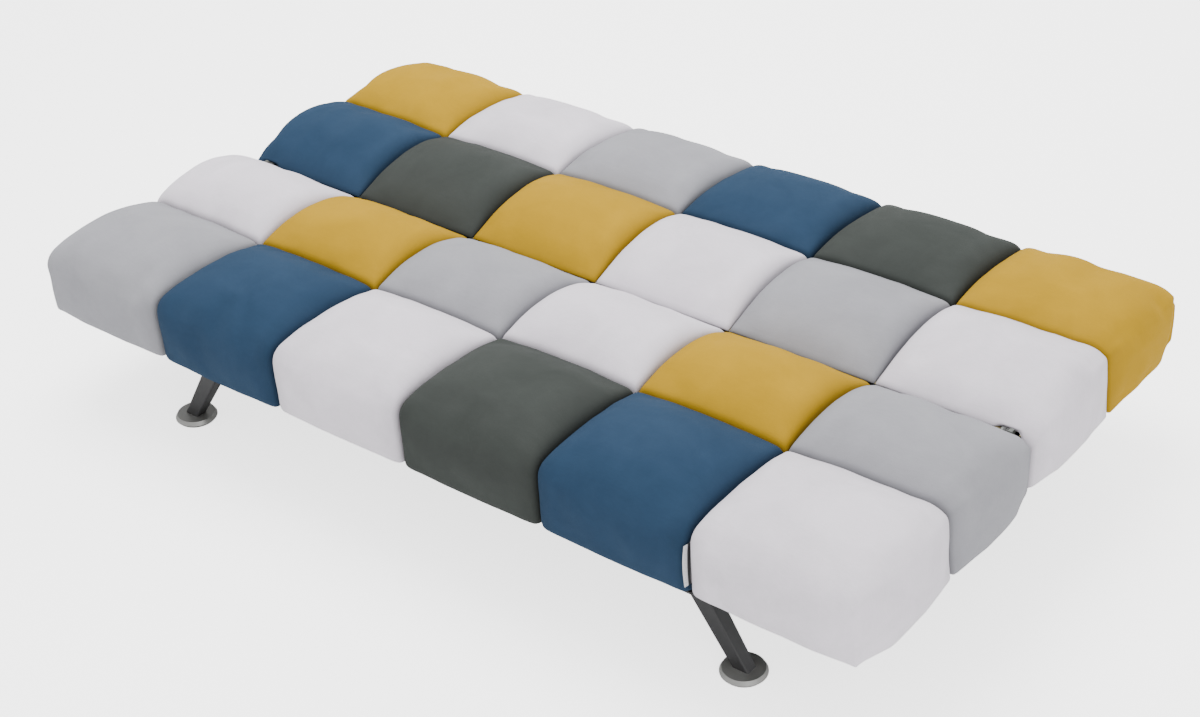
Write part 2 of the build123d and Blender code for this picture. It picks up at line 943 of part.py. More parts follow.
def pawl_washer():
    ring = disc_outline(pawl_hub_radius, pawl_y, pawl_z)
    ring -= disc_outline(pawl_pin_radius + run_clear, pawl_y, pawl_z)
    return plate_across(ring, washer_x, washer_x + arm_washer)


def pawl():
    """The pawl, drawn lifted just clear of the sector."""
    tip = (pawl_tip_y, pivot_z - pawl_tip_below)
    lever = strap(pawl_hub_radius, (pawl_y, pawl_z), pawl_tip_radius, tip)
    top = pivot_z - sector_radius - pawl_nose_clear
    nose_height = top - tip[1]
    nose = Pos(pawl_nose_y, tip[1] + nose_height / 2)
    outline = lever + nose * Rectangle(pawl_nose_width, nose_height)
    outline -= disc_outline(pawl_pin_radius + run_clear, pawl_y, pawl_z)
    return plate_across(outline, back_arm_x, back_arm_x + arm_thick)


def pawl_spring():
    """A leaf with an eye round the pawl's pin, bearing on the pivot bolt's head."""
    bore = pawl_pin_radius + run_clear
    middle = bore + leaf_thick / 2
    span = math.hypot(pawl_y, pawl_below_pivot)
    aim = math.atan2(pawl_below_pivot, -pawl_y)
    miss = pivot_head_radius + leaf_clear + leaf_thick / 2
    turn = aim + math.asin((miss - middle) / span)
    strip = Pos(leaf_length / 2, middle) * Rectangle(leaf_length, leaf_thick)
    outline = Circle(bore + leaf_thick) + strip - Circle(bore)
    outline = Pos(pawl_y, pawl_z) * Rot(0, 0, math.degrees(turn)) * outline
    return plate_across(outline, leaf_x, leaf_x + leaf_width)


def pawl_pin():
    head_x = leaf_x - side_clear - pawl_head
    head = rod(pawl_head_radius, head_x, head_x + pawl_head, pawl_y, pawl_z)
    end = end_rail_inside + pin_past_arm
    return head + rod(pawl_pin_radius, head_x, end, pawl_y, pawl_z)


def screws(face_x):
    """The two screws through an arm's foot, whose face is at face_x."""
    pieces = []
    for y in screw_places():
        head = rod(screw_head_radius, face_x - screw_head, face_x, y, screw_z())
        shank = rod(screw_radius, face_x, end_rail_inside + screw_reach, y, screw_z())
        pieces.append(head + shank)
    return pieces


def both_ends(pieces):
    return pieces + [other_end(piece) for piece in pieces]


def hinge_pieces():
    """Both hinges, keyed by node name."""
    back_screws = [other_half(screw) for screw in screws(back_arm_x)]
    return {
        "hinge_seat_arm_right": [seat_arm()],
        "hinge_seat_arm_left": [other_end(seat_arm())],
        "hinge_back_arm_right": [back_arm()],
        "hinge_back_arm_left": [other_end(back_arm())],
        "hinge_pivot_bolts": both_ends([pivot_bolt()]),
        "hinge_pivot_nuts": both_ends([pivot_nut_piece()]),
        "hinge_washers": both_ends([pivot_washer(), pawl_washer()]),
        "hinge_pawl_right": [pawl()],
        "hinge_pawl_left": [other_end(pawl())],
        "hinge_pawl_spring_right": [pawl_spring()],
        "hinge_pawl_spring_left": [other_end(pawl_spring())],
        "hinge_pawl_pins": both_ends([pawl_pin()]),
        "hinge_seat_screws": both_ends(screws(seat_arm_x)),
        "hinge_back_screws": both_ends(back_screws),
    }


# The whole sofa bed


def seat_pieces(inside, front_row, inner_row):
    """The seat half, keyed by node name."""
    pieces = {"seat_" + name: solids for name, solids in inside.items()}
    low = frame_z - cut_over
    deep = frame_z + seat_bolt_reach + bolt_clear
    braces = [frame_brace(x) for x in (-side_rail_x, 0, side_rail_x)]
    pieces["seat_braces"] = [drilled_for_seat_bolts(brace, low, deep) for brace in braces]
    pieces["seat_dust_cover"] = [drilled_for_seat_bolts(dust_cover(), low - cut_over, deep)]
    front_row = front_row[:-1] + [front_row[-1] - tag_box(tag_clear)]
    cloth = by_colour((front_row, inner_row), row_colours[:2])
    for name, patches in cloth.items():
        pieces["seat_patches_" + name] = patches
    pieces["side_tag"] = [tag_box(0)]
    return pieces


def backrest_pieces(inside, front_row, inner_row):
    """The backrest half, keyed by node name."""
    pieces = {"backrest_" + name: solids for name, solids in inside.items()}
    pieces["backrest_braces"] = [frame_brace(x) for x in (-bumper_x, 0, bumper_x)]
    pieces["backrest_dust_cover"] = [dust_cover()]
    cloth = by_colour((inner_row, front_row), row_colours[2:])
    for name, patches in cloth.items():
        pieces["backrest_patches_" + name] = patches
    return {name: [other_half(s) for s in solids] for name, solids in pieces.items()}


def build():
    """Every node of the sofa bed: its name and its solids."""
    inside = half_inside()
    shapes = patch_shapes()
    front_row = row_of_patches(shapes["front"], shapes["front_end"])
    inner_row = row_of_patches(shapes["inner"], shapes["inner_end"])
    nodes = base_pieces()
    nodes.update(seat_pieces(inside, front_row, inner_row))
    nodes.update(backrest_pieces(inside, front_row, inner_row))
    nodes.update(hinge_pieces())
    return nodes


os.makedirs("parts", exist_ok=True)
for node_name, node_solids in build().items():
    export_step(Compound(children=list(node_solids)), "parts/" + node_name + ".step")
print("seams at", pitch, "and", row_depth, "mm; hinge axis", pivot_z, "mm up")
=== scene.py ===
"""Looks of a patchwork sofa bed, laid out as a Blender add-on and run as a script.

Lengths are in metres in the CAD's frame: X along the bed, -Y the front, Z up from the floor.
"""

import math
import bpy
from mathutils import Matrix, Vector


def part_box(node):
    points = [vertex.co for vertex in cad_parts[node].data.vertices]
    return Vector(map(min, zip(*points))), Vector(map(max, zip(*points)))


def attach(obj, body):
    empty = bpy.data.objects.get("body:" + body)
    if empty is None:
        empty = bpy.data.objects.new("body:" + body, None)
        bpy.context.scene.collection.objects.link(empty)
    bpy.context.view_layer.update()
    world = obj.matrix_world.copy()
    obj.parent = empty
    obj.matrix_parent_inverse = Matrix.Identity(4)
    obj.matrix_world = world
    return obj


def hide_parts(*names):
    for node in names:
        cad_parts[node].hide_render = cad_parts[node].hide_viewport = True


bl_info = {
    "name": "Patchwork Sofa Bed",
    "version": (1, 0, 0),
    "blender": (4, 5, 0),
    "location": "View3D > Sidebar > Sofa Bed",
    "description": "Covers, linings, filling, hem stitches and finishes of a patchwork sofa bed",
    "category": "Object",
}

from contextlib import contextmanager

import bmesh
import bpy
import numpy as np
from mathutils import Matrix, Vector, noise
from mathutils.bvhtree import BVHTree

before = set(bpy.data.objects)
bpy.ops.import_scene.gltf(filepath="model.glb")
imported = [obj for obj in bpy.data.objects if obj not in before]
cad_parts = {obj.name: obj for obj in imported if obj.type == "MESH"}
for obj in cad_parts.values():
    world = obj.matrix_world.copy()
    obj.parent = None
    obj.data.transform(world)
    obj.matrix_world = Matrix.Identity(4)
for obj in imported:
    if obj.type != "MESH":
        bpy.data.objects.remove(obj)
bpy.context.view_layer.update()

HALVES = ("seat", "backrest")
CLOTHS = ("grey", "blue", "light", "dark", "yellow")
ROW_CLOTHS = {
    "seat": {
        "outer": ("grey", "blue", "light", "dark", "blue", "light"),
        "inner": ("light", "yellow", "grey", "light", "yellow", "grey"),
    },
    "backrest": {
        "outer": ("yellow", "light", "grey", "blue", "dark", "yellow"),
        "inner": ("blue", "dark", "yellow", "light", "grey", "light"),
    },
}

# Places of one half's seams, sides and core, drawn for the seat half
COLUMNS = 6
PITCH = 0.3
END_X = 0.9
CORE_X = 0.8783
SEAM_Y = -0.26825
EDGE_Y = -0.5365
CORE_Y = -0.5148
WALL_Y = -0.0035
LOW_Z = 0.2
HEM_Z = 0.214
CORE_Z = 0.2905
HIGH_Z = 0.32

# Cells of the cover's lattice, which lies on a sharp box round the half
CELLS_A_PATCH = 36
END_CELLS = 3
ROW_CELLS = 32
INNER_CELLS = 30
HEM_CELLS = 2
SIDE_CELLS = 9
TOP_CELLS = 4
LIP_ROWS = 3
SEAM_COLUMNS = {c * CELLS_A_PATCH for c in range(1, COLUMNS)}

# Rounds of the sides at some heights, round which the rays fan out
FAN_Z = 0.275
FAN_HEIGHTS = (LOW_Z, HEM_Z, 0.245, FAN_Z, HIGH_Z)
END_ROUNDS = (0.014, 0.014, 0.016, 0.03, 0.05)
EDGE_ROUNDS = (0.014, 0.014, 0.016, 0.03, 0.04)

# The lip of the valley, and how it turns down at the ends
LIP_START_Y = -0.0155
LIP_Y = -0.0062
LIP_Z = 0.2985
FACE_Y = -0.0012
FACE_Z = 0.2925
INNER_ROUND = 0.012
INNER_RADIUS = 0.0144
INNER_FADE = 0.02
TURN_X = 0.865
END_TURN = 0.05

# How far along the cover its seams, corners, hem and lumps reach
SHOULDER_Y = 0.3
CORNER_REACH = 0.07
CREASE_TOP = 0.285
CREASE_FADE = 0.04
CREASE_SIDE_SHARE = 0.3
# How far from a seam the painted crease shade reaches
CREASE_SHADE_REACH = 0.1
HEM_POWER = 1.5
INSET_REACH = 0.06
LUMP_REACH = 0.04
LUMP_SEEDS = {"seat": 7.0, "backrest": 31.0}
BROAD_LUMPS = 9
FINE_LUMPS = 40
FINE_SHARE = 0.2

# The hinges, their leaf springs, and the slope that the folding halves keep to
HINGE_Z = 0.292
HINGE_X = 0.854
HINGE_HALF = 0.018
HINGE_FADE = 0.009
HINGE_CLEAR = 0.0106
LEAF_Y = -0.0245
LEAF_Z = 0.2926
FOLD_SLOPE = 1.19
FOLD_CLEAR = 0.0008

# Small distances between neighbours, and for merging points
CORE_CLEAR = 0.0005
HEM_CLEAR = 0.0004
UNDERSIDE_MERGE = 0.0002
SHORTEST_EDGE = 0.00005
SAME_PLACE = 0.00002
TINY = 1e-6

# Foam, felt, linings, stitches and the tag
FOAM_ROUND = 0.004
FELT_ROUND = 0.0012
LINING_CELL = 0.04
LINING_EDGE = 0.002
LINING_RIPPLES = 5
RIPPLE_SHARE = 0.3
RIPPLE_SEED = 3
MOST_CUTS = 6
STAPLE_CLEAR = 0.0002
THREAD_CLEAR = 0.0001
STITCH_START = 0.012
TAG_THICK = 0.0009
TAG_CURL = 0.002
TAG_BELLY = 0.003

CLOTH_RULES = {
    "quality": 6,
    "mass": 0.25,
    "tension_stiffness": 18,
    "compression_stiffness": 18,
    "shear_stiffness": 6,
    "pin_stiffness": 1.0,
    "use_pressure": True,
}


# Small helpers for meshes


def new_object(name, verts, faces, edges=()):
    mesh = bpy.data.meshes.new(name)
    mesh.from_pydata([tuple(v) for v in verts], edges, faces)
    mesh.update()
    obj = bpy.data.objects.new(name, mesh)
    bpy.context.scene.collection.objects.link(obj)
    return obj


def shade_smooth(obj):
    obj.data.polygons.foreach_set("use_smooth", [True] * len(obj.data.polygons))


@contextmanager
def edited(obj):
    """The object's mesh, open for editing until the block ends."""
    work = bmesh.new()
    work.from_mesh(obj.data)
    yield work
    work.to_mesh(obj.data)
    work.free()


def flattened(obj):
    """The object's evaluated mesh, with its modifiers taken in."""
    graph = bpy.context.evaluated_depsgraph_get()
    mesh = bpy.data.meshes.new_from_object(obj.evaluated_get(graph))
    old = obj.data
    obj.modifiers.clear()
    obj.data = mesh
    mesh.name = obj.name
    if old.users == 0:
        bpy.data.meshes.remove(old)
    return obj


def subdivided(obj):
    fine = obj.modifiers.new("Subdivision", "SUBSURF")
    fine.levels = 1
    fine.render_levels = 1
    return flattened(obj)


def set_material(obj, material):
    obj.data.materials.clear()
    obj.data.materials.append(material)


def node_copy(node, name):
    """A merged copy of a CAD node's mesh, to build a piece on."""
    obj = bpy.data.objects.new(name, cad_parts[node].data.copy())
    bpy.context.scene.collection.objects.link(obj)
    level = math.radians(1)
    with edited(obj) as work:
        bmesh.ops.remove_doubles(work, verts=work.verts, dist=SAME_PLACE)
        bmesh.ops.dissolve_limit(work, angle_limit=level, verts=work.verts, edges=work.edges)
    return obj


# Materials


def linear(colour):
    """A colour given in sRGB from 0 to 1, as Blender's linear one."""
    return tuple(c / 12.92 if c <= 0.04045 else ((c + 0.055) / 1.055) ** 2.4 for c in colour)


def add_node(tree, kind, inputs, **rules):
    """A new node with its rules set, then its inputs: values or other nodes' outputs."""
    node = tree.nodes.new(kind)
    for name, value in rules.items():
        setattr(node, name, value)
    for key, value in inputs.items():
        if isinstance(value, bpy.types.NodeSocket):
            tree.links.new(value, node.inputs[key])
        else:
            node.inputs[key].default_value = value
    return node


class Finish:
    """A material under construction, with short calls for its nodes."""

    def __init__(self, name):
        self.material = bpy.data.materials.new(name)
        self.material.use_nodes = True
        self.tree = self.material.node_tree
        self.shader = self.tree.nodes["Principled BSDF"]
        self.place = self.add("TexCoord", "Object", {})

    def add(self, kind, output, inputs, **rules):
        return add_node(self.tree, "ShaderNode" + kind, inputs, **rules).outputs[output]

    def feed(self, **sources):
        """Links textures to the shader's sockets."""
        for name, source in sources.items():
            self.tree.links.new(source, self.shader.inputs[name.replace("_", " ")])

    def set(self, **values):
        """Sets the shader's own sockets."""
        for name, value in values.items():
            self.shader.inputs[name.replace("_", " ")].default_value = value

    def stretched(self, scale):
        return self.add("Mapping", "Vector", {"Vector": self.place, "Scale": scale})

    def noise(self, scale, detail=3.0, roughness=0.5, vector=None, distortion=0.0):
        inputs = {"Vector": vector or self.place, "Scale": scale, "Detail": detail}
        inputs.update({"Roughness": roughness, "Distortion": distortion})
        return self.add("TexNoise", "Fac", inputs)

    def cells(self, scale):
        return self.add("TexVoronoi", "Distance", {"Vector": self.place, "Scale": scale})

    def wave(self, scale, distortion, direction="X", vector=None):
        inputs = {"Vector": vector or self.place, "Scale": scale, "Distortion": distortion}
        return self.add("TexWave", "Fac", inputs, bands_direction=direction)

    def ramp(self, source, *stops):
        """Stops are (place, value) or (place, linear colour)."""
        node = add_node(self.tree, "ShaderNodeValToRGB", {"Fac": source})
        points = node.color_ramp.elements
        while len(points) < len(stops):
            points.new(0.5)
        for point, (place, value) in zip(points, stops):
            point.position = place
            colour = value if hasattr(value, "__len__") else (value, value, value)
            point.color = (*colour[:3], 1)
        return node.outputs["Color"]

    def tones(self, source, base, low, high):
        """A colour from one share of its brightness to another."""
        return self.ramp(source, (0.3, shade(base, low)), (0.7, shade(base, high)))

    def mix(self, factor, a, b):
        """From a to b as the factor goes from 0 to 1; each is a socket or a linear colour."""
        a, b = (v if isinstance(v, bpy.types.NodeSocket) else (*v[:3], 1) for v in (a, b))
        return self.add("Mix", 2, {0: factor, 6: a, 7: b}, data_type="RGBA")

    def veiled(self, tint, mask, start, stop, most, colour):
        """The tint with a colour over it where the mask is high, up to a share of it."""
        return self.mix(self.ramp(mask, (start, 0.0), (stop, most)), tint, colour)

    def sum(self, a, b, share):
        """b + a * share."""
        return self.add("Math", 0, {0: a, 1: share, 2: b}, operation="MULTIPLY_ADD")

    def bump(self, height, distance, strength):
        inputs = {"Height": height, "Distance": distance, "Strength": strength}
        self.feed(Normal=self.add("Bump", "Normal", inputs))
        return self.material


def shade(colour, factor):
    return tuple(min(1.0, c * factor) for c in colour)


def cloth_finish(name, colour):
    """Brushed suede-like cloth: soft nap clouds, a fine grain, and painted shade that darkens it near
    the seams.
    """
    base = linear(colour)
    made = Finish(name)
    clouds = made.noise(9.0, 4.0, 0.6, distortion=0.6)
    streaks = made.noise(1.0, 3.0, 0.7, vector=made.stretched((60, 340, 60)))
    grain = made.noise(900.0, 2.0, 0.6)
    tint = made.tones(clouds, base, 0.93, 1.07)
    tint = made.veiled(tint, streaks, 0.35, 0.75, 0.22, shade(base, 1.25))
    tint = made.veiled(tint, grain, 0.4, 0.7, 0.18, shade(base, 0.72))
    # Painted shade: the cloth darkens towards its seams, where the creases lie in shadow.
    seam = made.add("Attribute", "Fac", {}, attribute_name="seam_shade_share")
    painted_crease_shade = made.ramp(seam, (0.0, 0.72), (0.09, 0.26), (0.4, 0.0))
    made.feed(Base_Color=made.mix(painted_crease_shade, tint, shade(base, 0.5)))
    made.feed(Roughness=made.ramp(clouds, (0.3, 0.94), (0.7, 0.82)))
    made.set(Sheen_Weight=0.18, Sheen_Roughness=0.5, Specular_IOR_Level=0.15)
    made.set(Sheen_Tint=(*shade(base, 1.6), 1))
    weave = made.sum(made.cells(1100.0), grain, 0.6)
    return made.bump(made.sum(made.noise(34.0, 3.0, 0.55), weave, 1.6), 0.0007, 0.55)


def lining_finish(name, colour):
    """Plain thin cloth with a visible weave and a little dust."""
    base = linear(colour)
    made = Finish(name)
    threads = made.mix(0.5, made.wave(260.0, 0.4, "X"), made.wave(260.0, 0.4, "Y"))
    tint = made.ramp(threads, (0.2, shade(base, 0.6)), (0.8, shade(base, 1.5)))
    dust = made.noise(14.0, 5.0, 0.6)
    made.feed(Base_Color=made.veiled(tint, dust, 0.5, 0.8, 0.25, shade(base, 3.0)))
    made.set(Roughness=0.9, Specular_IOR_Level=0.2)
    return made.bump(threads, 0.0004, 0.6)


def foam_finish(name, colour):
    base = linear(colour)
    made = Finish(name)
    pores = made.cells(420.0)
    tint = made.ramp(pores, (0.0, shade(base, 0.55)), (0.35, base))
    made.feed(Base_Color=made.veiled(tint, made.noise(7.0), 0.4, 0.7, 0.3, shade(base, 0.85)))
    made.set(Roughness=0.95, Specular_IOR_Level=0.15)
    return made.bump(pores, 0.0015, 0.8)


def felt_finish(name, dark, pale, lint):
    made = Finish(name)
    fibres = made.noise(1.0, 6.0, 0.75, vector=made.stretched((260, 90, 260)), distortion=1.5)
    tint = made.ramp(fibres, (0.3, linear(dark)), (0.7, linear(pale)))
    specks = made.ramp(made.cells(300.0), (0.05, 0.7), (0.16, 0.0))
    made.feed(Base_Color=made.mix(specks, tint, linear(lint)))
    made.set(Roughness=0.95, Specular_IOR_Level=0.1)
    return made.bump(fibres, 0.0012, 0.8)


def timber_finish(name, dark, pale, ring):
    """Sawn softwood, its grain along the bed."""
    made = Finish(name)
    grain = made.noise(1.0, 5.0, 0.6, vector=made.stretched((3.0, 60.0, 60.0)), distortion=1.2)
    rings = made.wave(14.0, 6.0, "Z", vector=made.stretched((0.6, 3.0, 3.0)))
    tint = made.ramp(grain, (0.3, linear(dark)), (0.7, linear(pale)))
    made.feed(Base_Color=made.veiled(tint, rings, 0.3, 0.9, 0.45, linear(ring)))
    made.feed(Roughness=made.ramp(grain, (0.2, 0.75), (0.8, 0.55)))
    made.set(Specular_IOR_Level=0.3)
    return made.bump(grain, 0.0008, 0.5)


def metal_finish(name, colour, roughness, metallic, scratch, coat=0.0):
    """Metal or painted metal, with fine brush marks and smudges."""
    made = Finish(name)
    smudge = made.noise(16.0, 4.0, 0.6)
    made.feed(Base_Color=made.tones(smudge, linear(colour), 0.88, 1.08))
    made.feed(Roughness=made.ramp(smudge, (0.3, roughness * 0.8), (0.7, roughness * 1.25)))
    made.set(Metallic=metallic, Coat_Weight=coat, Coat_Roughness=0.25)
    return made.bump(made.noise(1.0, 4.0, 0.7, vector=made.stretched((700, 700, 30))), scratch, 0.35)


def moulded_finish(name, colour, roughness, grain):
    """Moulded plastic or rubber with a fine spark texture."""
    made = Finish(name)
    pits = made.noise(700.0, 3.0, 0.6)
    made.feed(Base_Color=made.tones(made.noise(22.0, 4.0), linear(colour), 0.8, 1.3))
    made.feed(Roughness=made.ramp(pits, (0.3, roughness * 0.9), (0.7, roughness * 1.15)))
    return made.bump(pits, grain, 0.6)


def thread_finish(name, colour):
    base = linear(colour)
    made = Finish(name)
    twist = made.wave(900.0, 1.0, "DIAGONAL")
    made.feed(Base_Color=made.ramp(twist, (0.2, shade(base, 0.6)), (0.8, base)))
    made.set(Roughness=0.7)
    return made.bump(twist, 0.0002, 0.5)


def tag_finish(name, low, high):
    """White woven ribbon with a dark band of painted shadow on its half beside the seam."""
    made = Finish(name)
    depth = high.y - low.y
    out = made.sum(made.add("SeparateXYZ", "Y", {0: made.place}), high.y / depth, -1 / depth)
    weave = made.wave(700.0, 0.2, "Z")
    white = made.ramp(weave, (0.2, linear((0.72, 0.72, 0.72))), (0.8, linear((0.9, 0.9, 0.92))))
    # Painted shadow: a dark band from near the root out to the tag's middle, where the gap between tag
    # and patch lies in shade.
    painted_shadow_band = made.ramp(out, (0.1, 0.0), (0.16, 1.0), (0.5, 1.0), (0.56, 0.0))
    made.feed(Base_Color=made.mix(painted_shadow_band, white, linear((0.16, 0.16, 0.17))))
    made.set(Roughness=0.75)
    return made.bump(weave, 0.0003, 0.5)


# The cover


def lattice_lines(*runs):
    """Places of the lattice's lines, from runs of (start, stop, cells)."""
    places = [runs[0][0]]
    for start, stop, cells in runs:
        places.extend(np.linspace(start, stop, cells + 1)[1:])
    return np.array(places)


def cover_lattice():
    middles = [(c * PITCH - END_X, (c + 1) * PITCH - END_X, CELLS_A_PATCH) for c in range(1, 5)]
    inner_cells = CELLS_A_PATCH - END_CELLS
    across = lattice_lines(
        (-END_X, -CORE_X, END_CELLS),
        (-CORE_X, PITCH - END_X, inner_cells),
        *middles,
        (END_X - PITCH, CORE_X, inner_cells),
        (CORE_X, END_X, END_CELLS),
    )
    along = lattice_lines(
        (EDGE_Y, CORE_Y, END_CELLS),
        (CORE_Y, SEAM_Y, ROW_CELLS - END_CELLS),
        (SEAM_Y, LIP_START_Y, INNER_CELLS),
        (LIP_START_Y, WALL_Y, LIP_ROWS),
    )
    up = lattice_lines(
        (LOW_Z, HEM_Z, HEM_CELLS), (HEM_Z, CORE_Z, SIDE_CELLS), (CORE_Z, HIGH_Z, TOP_CELLS)
    )
    return across, along, up


def lattice_faces(across, along, up):
    """Quads of the half's outside as lattice points, each with its column and row."""
    ni, nj, nk = len(across) - 1, len(along) - 1, len(up) - 1
    made = []

    def add(corners, i, j, turned):
        column = min(i, ni - 1) // CELLS_A_PATCH
        row = "outer" if j < ROW_CELLS else "inner"
        made.append((corners[::-1] if turned else corners, column, row))

    for i in range(ni):
        for j in range(nj):
            square = [(i, j), (i + 1, j), (i + 1, j + 1), (i, j + 1)]
            add([(a, b, nk) for a, b in square], i, j, False)
            if i < END_CELLS or i >= ni - END_CELLS or j < END_CELLS:
                add([(a, b, 0) for a, b in square], i, j, True)
        for k in range(nk):
            square = [(i, k), (i + 1, k), (i + 1, k + 1), (i, k + 1)]
            add([(a, 0, b) for a, b in square], i, 0, False)
            if i < END_CELLS or i >= ni - END_CELLS:
                add([(a, nj, b) for a, b in square], i, nj, True)
    for j in range(nj):
        for k in range(nk):
            square = [(j, k), (j + 1, k), (j + 1, k + 1), (j, k + 1)]
            add([(ni, a, b) for a, b in square], ni, j, False)
            add([(0, a, b) for a, b in square], 0, j, True)
    return made


def fan(point):
    """Where a ray through a lattice point starts inside, and which way it goes out."""
    x, y, z = point
    end_round = np.interp(z, FAN_HEIGHTS, END_ROUNDS)
    edge_round = np.interp(z, FAN_HEIGHTS, EDGE_ROUNDS)
    reach_x = END_X - end_round
    inside = np.array(
        [
            np.clip(x, -reach_x, reach_x),
            max(y, EDGE_Y + edge_round),
            np.clip(z, HEM_Z, FAN_Z),
        ]
    )
    tall = HIGH_Z - FAN_Z if z > FAN_Z else HEM_Z - LOW_Z
    way = (np.array(point) - inside) / np.array([end_round, edge_round, tall])
    return inside, way / np.linalg.norm(way)


def cad_surface(half):
    """The CAD patches of a half as one searchable surface, turned to the seat's side."""
    flip = -1 if half == "backrest" else 1
    verts, faces = [], []
    for cloth in CLOTHS:
        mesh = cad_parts[f"{half}_patches_{cloth}"].data
        start = len(verts)
        verts.extend((v.co.x, v.co.y * flip, v.co.z) for v in mesh.vertices)
        faces.extend([start + n for n in p.vertices] for p in mesh.polygons)
    return BVHTree.FromPolygons(verts, faces)


def cast_cover(half, points, lattice, across, along):
    """Puts every lattice point on the CAD's surface."""
    surface = cad_surface(half)
    far = 0.25
    deeper = 0.06
    aside = 0.0005
    last_row = len(along) - 1 - LIP_ROWS
    placed = np.zeros((len(points), 3))
    for n, (i, j, k) in enumerate(lattice):
        if j > last_row:
            continue
        inside, way = fan(points[n])
        shift = np.zeros(3)
        if i in SEAM_COLUMNS:
            shift[0] = -aside if across[i] >= 0 else aside
        if j == ROW_CELLS:
            shift[1] = -aside
        start = inside + way * far + shift
        hit = surface.ray_cast(Vector(start), Vector(-way), far + deeper)[0]
        if hit is None:
            hit = surface.find_nearest(Vector(points[n] + shift))[0]
        placed[n] = np.array(hit) - shift
    return placed


def shape_lip(placed, index, across, along, up):
    """Places the rows beside the valley: over the lip, down to the other half's face."""
    ni, nj, nk = len(across) - 1, len(along) - 1, len(up) - 1
    last = nj - LIP_ROWS
    rows_y = np.array([(LIP_START_Y + LIP_Y) / 2, LIP_Y, FACE_Y])
    for (i, j, k), n in index.items():
        if j <= last or (j == nj and 0 < i < ni and k < nk):
            continue
        base = placed[index[(i, last, k)]]
        y = rows_y[j - last - 1]
        past_turn = np.clip((abs(base[0]) - TURN_X) / END_TURN, 0, 1)
        drop = END_TURN * (1 - math.sqrt(1 - past_turn**2))
        full = base[2] + drop
        level = np.interp(y, (LIP_START_Y, LIP_Y, FACE_Y), (full, min(full, LIP_Z), FACE_Z))
        lowered = (full - level) * np.clip((base[2] - HEM_Z) / (LIP_Z - HEM_Z), 0, 1) ** 2
        into = min(y - LIP_START_Y, INNER_ROUND)
        inward = INNER_RADIUS - math.sqrt(INNER_RADIUS**2 - into**2)
        inward *= np.clip((abs(base[0]) - CORE_X) / INNER_FADE, 0, 1)
        x = base[0] - math.copysign(inward, base[0])
        z = base[2] - (lowered if k > 0 else 0)
        placed[n] = (x, y, z)
    for (i, j, k), n in index.items():
        if j == nj and 0 < i < ni and k < nk:
            edge = 0 if across[i] < 0 else ni
            outer = placed[index[(edge, nj, k)]]
            top = placed[index[(i, nj, nk)]]
            outer_top = placed[index[(edge, nj, nk)]]
            share = (abs(across[i]) - CORE_X) / (END_X - CORE_X)
            x = CORE_X + (abs(outer[0]) - CORE_X) * share
            rise = (outer[2] - LOW_Z) / (outer_top[2] - LOW_Z)
            placed[n] = (math.copysign(x, across[i]), FACE_Y, LOW_Z + (top[2] - LOW_Z) * rise)
    return placed


def read_vectors(mesh, field):
    flat = np.zeros(len(mesh.vertices) * 3)
    mesh.vertices.foreach_get(field, flat)
    return flat.reshape(-1, 3)


def seam_distance(points, across, along):
    """Distance along the cover from each point to its nearest seam."""
    seams_x = np.array([across[c] for c in sorted(SEAM_COLUMNS)])
    to_column = np.abs(points[:, :1] - seams_x).min(axis=1)
    return np.minimum(to_column, np.abs(points[:, 1] - along[ROW_CELLS]))


